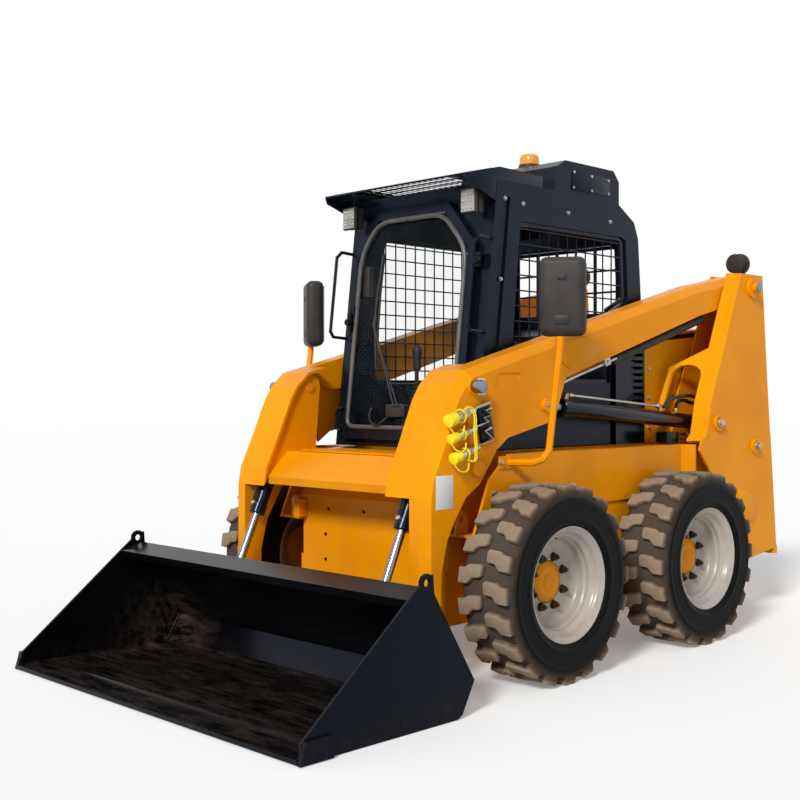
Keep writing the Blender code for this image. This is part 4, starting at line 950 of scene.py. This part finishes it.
elbowPlate = ((0.261, 1.336), (0.297, 1.253), (0.360, 1.224), (0.500, 1.268), (0.564, 1.310), (0.552, 1.339),
              (0.453, 1.365))
coupler = {
    "x": 0.630,
    # y and z of each cap's nose, the cap's radius, and the steel line behind it as (y, z) points
    "rows": (
        (-0.428, 1.020, 0.0265, ((-0.270, 1.066), (-0.185, 1.088))),
        (-0.418, 0.950, 0.0200, ((-0.275, 0.992), (-0.195, 1.014), (-0.222, 1.030), (-0.172, 1.040),
                                 (-0.212, 1.058), (-0.176, 1.066))),
        (-0.402, 0.876, 0.0235, ((-0.270, 0.914), (-0.165, 0.944), (-0.212, 0.978), (-0.176, 0.990))),
    ),
    "bracket": ((-0.240, 1.068), (-0.172, 1.092), (-0.142, 0.950), (-0.212, 0.928)),
    "rail": ((-0.300, 1.075), (-0.270, 1.080), (-0.240, 0.880), (-0.272, 0.874)),
    "tether": ((-0.385, 1.058), (-0.345, 1.072), (-0.322, 1.050), (-0.318, 0.980), (-0.312, 0.905),
               (-0.320, 0.868), (-0.350, 0.872)),
}


def addArmFittings():
    plates, armHeads, studHeads, steel, tablets = [], [], [], [], []
    for sign in (1, -1):
        plates.append(addPlate(elbowPlate, sign * 0.5942, sign * 0.6020, rounding=0.0025))
        plates.append(addDrum((sign * 0.594, -0.230, 0.835), (sign * 0.610, -0.230, 0.835), 0.034, 36, 0.003))
        plates.append(addSpun(((0.022, 0.594), (0.036, 0.594), (0.036, 0.609), (0.034, 0.611),
                               (0.022, 0.611)), 32, (sign, 0, 0), (0, -0.480, 0.180)))
        steel.append(addDrum((sign * 0.6045, -0.250, 1.150), (sign * 0.6500, -0.250, 1.150), 0.0262, 36,
                             0.003))
        steel.append(addDrum((sign * 0.606, -0.480, 0.180), (sign * 0.612, -0.480, 0.180), 0.0230, 32, 0.002))
        armHeads.append(((sign * 0.614, 0.190, 1.075), (sign, 0, 0)))
        studs = ((0.606, -0.100, 0.850), (0.6005, -0.136, 0.731), (0.6005, 0.362, 0.734))
        studHeads += [((sign * x, y, z), (sign, 0, 0)) for x, y, z in studs]
        low, high = sorted((sign * 0.5942, sign * 0.5952))
        tablets.append(addBlock((low, -0.456, 0.686), (high, -0.362, 0.814), 0.0004))
        tablets.append(addBlock((low, -0.222, 1.118), (high, -0.180, 1.182), 0.0004))
    finishPiece(joinPieces(plates), "armOverlayPlates", "yellow", "boom")
    finishPiece(joinPieces(steel), "armPinHeads", "chrome", "boom")
    addBolts("armBolts", 0.020, 0.013, armHeads, "boom")
    addBolts("fenderStuds", 0.017, 0.012, studHeads)
    finishPiece(joinPieces(tablets), "armBlankPlates", "label", "boom")
    # a serrated step strip on top of the crossbar
    strip = [addBlock((-0.300, -0.366, 0.874), (0.300, -0.322, 0.8795), 0.001)]
    tooth = addBlock((-0.0035, -0.0200, 0.0), (0.0035, 0.0200, 0.006), 0.001)
    strip.append(copyTo(tooth, [((-0.290 + i * 0.020, -0.344, 0.879), (0, 0, 1)) for i in range(30)]))
    finishPiece(joinPieces(strip), "crossbarStep", "yellow", "boom")


def addCouplers():
    bracket = addPlate(coupler["bracket"], 0.5945, 0.6100, rounding=0.002)
    rail = addPlate(coupler["rail"], 0.5945, 0.6080, rounding=0.002)
    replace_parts(finishPiece(bracket, "couplerBracket", "black", "boom"), "coupler_bank")
    finishPiece(rail, "couplerRail", "yellow", "boom")
    bodies, caps, lines = [], [], []
    along = Vector((0.0, 1.0, 0.27)).normalized()
    for y, z, radius, route in coupler["rows"]:
        nose = Vector((coupler["x"], y, z))
        bodies += [addDrum(nose + along * 0.040, nose + along * 0.085, radius * 0.78, 28, 0.0015),
                   addDrum(nose + along * 0.083, nose + along * 0.108, radius * 0.85, 6, 0.002),
                   addDrum(nose + along * 0.106, nose + along * 0.150, radius * 0.52, 20, 0.0015)]
        caps += [addDrum(nose, nose + along * 0.012, radius, 36, 0.004),
                 addDrum(nose + along * 0.010, nose + along * 0.046, radius * 0.90, 36, 0.003)]
        inner, outer = radius * 0.86, radius * 1.08
        caps.append(addSpun(((inner, 0.0), (outer, 0.0), (outer, 0.005), (inner, 0.005)), 28, along,
                            nose + along * 0.070))
        strap = ((0.006, 0.006, -radius), (0.012, 0.030, -radius - 0.022), (0.014, 0.066, -radius - 0.020),
                 (0.010, 0.080, -radius * 0.7))
        caps.append(addPipe([nose + Vector(step) for step in strap], 0.0030))
        bends = [Vector((coupler["x"] - 0.008, b, c)) for b, c in route]
        lines.append(addPipe([nose + along * 0.145] + bends, 0.0060, "VECTOR"))
    # two long tethers that hang from the upper caps
    for shift in (0.0, 0.010):
        caps.append(addPipe([Vector((0.662, b + shift, c)) for b, c in coupler["tether"]], 0.0028))
    finishPiece(joinPieces(bodies), "quickCouplers", "steel", "boom")
    finishPiece(joinPieces(caps), "couplerCaps", "capYellow", "boom")
    finishPiece(joinPieces(lines), "couplerLines", "steel", "boom")


cylinders = {
    # base pin and rod's eye as (y, z); length is the barrel's, start is where the rod begins inside it
    "lift": {"x": 0.550, "base": (1.434, 0.980), "eye": (0.190, 1.075), "barrel": 0.036, "rod": 0.0215,
             "eyeRadius": 0.034, "length": 1.095, "start": 0.100},
    "tilt": {"x": 0.452, "base": (-0.250, 1.150), "eye": (-0.6033, 0.365), "barrel": 0.030, "rod": 0.0175,
             "eyeRadius": 0.027, "length": 0.600, "start": 0.185},
}


def cylinderAxis(kind, sign):
    # the base pin's middle, the rod's eye, the way from one to the other, and up or forward square to it
    size = cylinders[kind]
    base, eye = (Vector((sign * size["x"], *size[end])) for end in ("base", "eye"))
    along = (eye - base).normalized()
    return base, eye, along, Vector((0, along.z, -along.y))


def addCylinders():
    for kind, size in cylinders.items():
        for side, sign in sides:
            base, eye, along, up = cylinderAxis(kind, sign)
            outer, rod, length = size["barrel"], size["rod"], size["length"]
            inner, collar = rod + 0.0008, outer + 0.004
            shell = addSpun(((inner, 0.085), (inner, length - 0.004), (inner + 0.004, length),
                             (outer, length), (collar, length - 0.003), (collar, length - 0.044),
                             (outer, length - 0.046), (outer, 0.052), (outer - 0.004, 0.040),
                             (0.010, 0.034), (0.010, 0.085)), 40, along, base)
            knuckle = addSpun(((0.0215, -0.026), (0.038, -0.026), (0.038, 0.026), (0.0215, 0.026)),
                              36, (1, 0, 0), base)
            if kind == "lift":
                line = addPipe([base + along * s + up * (outer + out) for s, out in (
                    (1.060, 0.004), (1.060, 0.021), (0.330, 0.021), (0.330, 0.004))], 0.0080, "VECTOR")
                raised = base + up * (outer + 0.021)
                nuts = [addDrum(raised + along * s, raised + along * (s + 0.022), 0.0125, 6, 0.001)
                        for s in (0.345, 1.018)]
                finishPiece(joinPieces([line] + nuts), "liftLine" + side, "steel",
                            "lift_barrel_" + side.lower())
            name = f"{kind}_barrel_{side.lower()}"
            barrel = finishPiece(joinPieces([shell, knuckle]), kind + "Barrel" + side, "black", name)
            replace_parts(barrel, name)
            start, end, ring = size["start"], (eye - base).length - 0.018, size["eyeRadius"]
            bar = addSpun(((0.0, start), (rod, start), (rod, end), (0.0, end)), 36, along, base)
            loop = addSpun(((ring / 2, -0.024), (ring, -0.024), (ring, 0.024), (ring / 2, 0.024)), 32,
                           (1, 0, 0), eye)
            name = f"{kind}_rod_{side.lower()}"
            piston = finishPiece(joinPieces([bar, loop]), kind + "Rod" + side, "chrome", name)
            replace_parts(piston, name)


liftHoses = {
    # from the ports on the barrel to the tower, as (x, y, z) on the left side
    "routes": (((0.548, 1.237, 1.048), (0.546, 1.252, 1.076), (0.540, 1.320, 1.088), (0.528, 1.390, 1.078),
                (0.510, 1.450, 1.074)),
               ((0.566, 1.108, 1.058), (0.570, 1.140, 1.088), (0.568, 1.240, 1.106), (0.552, 1.350, 1.112),
                (0.525, 1.450, 1.104))),
    "radius": 0.0092, "still": 1.440, "moving": 1.270,  # still lies by the tower and moving by the barrel, as places along y
}
armLines = {
    "route": ((0.262, 1.140), (0.300, 1.150), (0.345, 1.168), (0.730, 1.2795)), "x": (0.536, 0.561),
    "clamp": ((0.6260, 1.2771), (0.6640, 1.2884), (0.6745, 1.2530), (0.6365, 1.2417)),
    "sleeve": ((0.715, 1.2680), (1.080, 1.3760), (1.460, 1.4885)), "sleeveX": 0.5485,
}


def addHoses():
    for side, sign in sides:
        # tilt cylinders: a port at each end and a hose along the front
        barrel = "tilt_barrel_" + side.lower()
        top, _, along, front = cylinderAxis("tilt", sign)
        ports = [top + along * s for s in (0.095, 0.560)]
        rigid = [addDrum(port + front * 0.020, port + front * 0.042, 0.0110, 6, 0.001) for port in ports]
        finishPiece(joinPieces(rigid), "tiltCylinderPorts" + side, "steel", barrel)
        line = addPipe((ports[1] + front * 0.036, ports[1] + front * 0.044 - along * 0.025,
                        ports[0] + front * 0.044 + along * 0.050, ports[0] + front * 0.036), 0.0055)
        finishPiece(line, "tiltCylinderLine" + side, "hose", barrel)
        # lift cylinders: ports on the barrel, and curved hoses from it to the tower
        barrel = "lift_barrel_" + side.lower()
        rear, _, run, _ = cylinderAxis("lift", sign)
        lift = [addDrum(rear + run * s + Vector((0, 0, foot)), rear + run * s + Vector((0, 0, head)),
                        radius, 6, 0.001)
                for s, foot, head, radius in ((0.200, 0.030, 0.056, 0.012), (0.330, 0.030, 0.056, 0.012),
                                              (1.052, 0.034, 0.062, 0.011))]
        finishPiece(joinPieces(lift), "liftCylinderPorts" + side, "brass", barrel)
        for i, route in enumerate(liftHoses["routes"]):
            hose = addPipe([(sign * x, y, z) for x, y, z in route], liftHoses["radius"])
            finishPiece(hose, f"liftHose{side}{i + 1}", "hose", None)
            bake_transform(hose)
        # the valve block and its fittings under the barrel
        x = sign * 0.545
        stubs = []
        for z in (0.900, 0.926):
            stubs += [addDrum((x, 1.220, z), (x, 1.250, z), 0.0115, 6, 0.001),
                      addDrum((x, 1.248, z), (x, 1.372, z - 0.004), 0.0080, 20, 0.001),
                      addDrum((x, 1.340, z - 0.003), (x, 1.366, z - 0.004), 0.0110, 6, 0.001)]
        finishPiece(joinPieces(stubs), "valveFittings" + side, "steel", "chassis")
        valve = addBlock((x - 0.030, 1.120, 0.8865), (x + 0.030, 1.222, 0.940), 0.004)
        finishPiece(valve, "valveBlock" + side, "black", "chassis")
    # two steel lines in a clamp under the left arm's beam, and the sleeve that covers them further back
    lines = [addPipe([(x, y, z) for y, z in armLines["route"]], 0.0080) for x in armLines["x"]]
    clamp = addPlate(armLines["clamp"], 0.520, 0.577)
    clampBolt = copyTo(makeBolt(0.012, 0.008), [((0.577, 0.6502, 1.2650), (1, 0, 0))])
    bundle = finishPiece(joinPieces(lines + [clamp, clampBolt]), "armLines", "steel", "boom")
    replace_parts(bundle, "arm_pipes_left")
    sleeve = addPipe([(armLines["sleeveX"], y, z) for y, z in armLines["sleeve"]], 0.0205)
    finishPiece(sleeve, "armLineSleeve", "hose", "boom")
    print("boom fittings made")


# Chassis

tower = {
    "face": 0.6605, "pins": ((1.434, 0.980), (1.790, 0.855)), "armPivot": (1.760, 1.655),
    "doubler": ((1.617, 0.646), (1.700, 0.640), (1.788, 0.568), (1.801, 0.513), (1.760, 0.480),
                (1.708, 0.480), (1.640, 0.560)),
}
panelScrews = {
    "nose": ((0.262, 0.619), (0.282, 0.508), (0.282, 0.398)),  # as (x, z)
    "side": ((1.150, 0.960), (1.150, 1.100), (1.150, 1.240), (1.330, 1.000), (1.350, 1.110), (1.420, 1.240)),
}
bayLiner = ((1.190, 0.884), (1.885, 0.884), (1.885, 1.385), (1.560, 1.372), (1.190, 1.340))


def addChassisFittings():
    bolts, collars, pins, doublers = [], [], [], []
    face = tower["face"]
    for sign in (1, -1):
        for y, z in tower["pins"]:
            collars.append(addSpun(((0.026, face), (0.040, face), (0.040, 0.671), (0.038, 0.673),
                                    (0.026, 0.673)), 32, (sign, 0, 0), (0, y, z)))
            bolts.append(((sign * 0.676, y, z), (sign, 0, 0)))
        doublers.append(addPlate(tower["doubler"], sign * 0.6600, sign * 0.6670, rounding=0.002))
        pins.append(addDrum((sign * 0.7000, *tower["armPivot"]), (sign * 0.7060, *tower["armPivot"]),
                            0.0270, 32, 0.002))
        doublers.append(addSpun(((0.026, face), (0.052, face), (0.052, 0.672), (0.050, 0.674),
                                 (0.026, 0.674)), 36, (sign, 0, 0), (0, *tower["armPivot"])))
    finishPiece(joinPieces(collars + doublers), "towerCollars", "yellow", "chassis")
    finishPiece(joinPieces(pins), "towerPinHeads", "chrome", "chassis")
    addBolts("towerBolts", 0.030, 0.016, bolts)
    nose = [((sign * x, -0.2502, z), (0, -1, 0)) for sign in (1, -1) for x, z in panelScrews["nose"]]
    nose.append(((-0.034, -0.2502, 0.622), (0, -1, 0)))
    addBolts("noseScrews", 0.011, 0.005, nose, finish="black")
    panel = [((sign * 0.4515, y, z), (sign, 0, 0)) for sign in (1, -1) for y, z in panelScrews["side"]]
    addBolts("panelBolts", 0.014, 0.009, panel)
    # beside the nose on the right: a bolted block with a round cap; on each of its corners: a rubber stop
    block = [addBlock((-0.4480, -0.300, 0.5735), (-0.4050, -0.2520, 0.655), 0.004),
             addBlock((-0.4980, -0.245, 0.5735), (-0.4500, -0.195, 0.600), 0.004),
             addDrum((-0.475, -0.262, 0.634), (-0.475, -0.205, 0.634), 0.034, 36, 0.005)]
    finishPiece(joinPieces(block), "shelfBlock", "yellow", "chassis")
    for side, sign in sides:
        stop = addDrum((sign * 0.372, -0.222, 0.702), (sign * 0.372, -0.222, 0.752), 0.032, 32, 0.004, 0.021)
        finishPiece(stop, "boomStop" + side, "greyRubber", "chassis")
    # the radiator and its fan shroud behind the side vents, with a few of the fins showing
    core = [addBlock((-0.425, 1.000, 0.900), (0.425, 1.106, 1.345), 0.004),
            addBlock((-0.424, 1.105, 1.035), (0.424, 1.185, 1.340), 0.004)]
    fin = addBlock((-0.4300, 1.004, 0.0), (0.4300, 1.102, 0.003), 0.0008)
    applyModifier(fin, "ARRAY", {"count": 28, "use_relative_offset": False, "use_constant_offset": True,
                                 "constant_offset_displace": (0, 0, 0.0155)})
    fin.location.z = 0.910
    core.append(applyPlace(fin))
    finishPiece(joinPieces(core), "radiatorCore", "black", "chassis")
    # black sheet walls inside the engine bay, which close it behind the towers
    for side, sign in sides:
        wall = addPlate(bayLiner, sign * 0.4255, sign * 0.4305, rounding=0.001)
        finishPiece(wall, "bayLiner" + side, "black", "chassis")


def addRearLamps():
    for side, sign in sides:
        x = sign * 0.515
        # the round housing: fins one behind the other, and a rim
        rings = [(0.0, 1.835), (0.034, 1.835)]
        for i in range(6):
            y = 1.838 + i * 0.007
            rings += [(0.050, y), (0.050, y + 0.0035), (0.044, y + 0.0036), (0.044, y + 0.0068)]
        rings += [(0.0545, 1.881), (0.0550, 1.885), (0.0550, 1.902), (0.0530, 1.904), (0.050, 1.900),
                  (0.0, 1.900)]
        housing = [addSpun(rings, 36, (0, 1, 0), (x, 0, 1.795)),
                   addPlate(((x - 0.020, 1.7228), (x + 0.020, 1.7228), (x + 0.020, 1.762),
                             (x - 0.020, 1.762)), 1.856, 1.866, "y", 0.001)]
        piece = finishPiece(joinPieces(housing), "rearLamp" + side, "plastic", "chassis")
        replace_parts(piece, "rear_lamp_" + side.lower())
        lens = addSpun(((0.0, 1.899), (0.0495, 1.899), (0.0490, 1.9035), (0.030, 1.9046), (0.0, 1.9050)), 36,
                       (0, 1, 0), (x, 0, 1.795))
        finishPiece(lens, "rearLampLens" + side, "lens", "chassis")


def addBucketFittings():
    # the wear strip behind the lip, and weld beads where the floor and back meet the cheeks
    strip = addPlate(((-1.235, 0.0162), (-1.115, 0.0162), (-1.120, 0.0215), (-1.230, 0.0215)), -0.885, 0.885,
                     rounding=0.001)
    finishPiece(strip, "bucketWearStrip", "bucket", "bucket")
    beads = [addPipe([(sign * 0.8885, y, z) for y, z in ((-1.340, 0.0195), (-0.680, 0.0170), (-0.655, 0.030),
                                                         (-0.600, 0.130), (-0.788, 0.440))], 0.0042, "VECTOR")
             for sign in (1, -1)]
    finishPiece(joinPieces(beads), "bucketWelds", "bucket", "bucket")


addCamera()
addStudio()
print("camera and studio ready")
materials = makeMaterials()
finishNodes(materials)
print("CAD nodes finished")
addWheels()
addSideScreens()
addDoorFittings()
addLamps()
addRoofFittings()
addVisor()
addMirrors()
addSeat()
addControls()
addArmFittings()
addCouplers()
addCylinders()
addHoses()
addChassisFittings()
addRearLamps()
addBucketFittings()
print("fittings made")
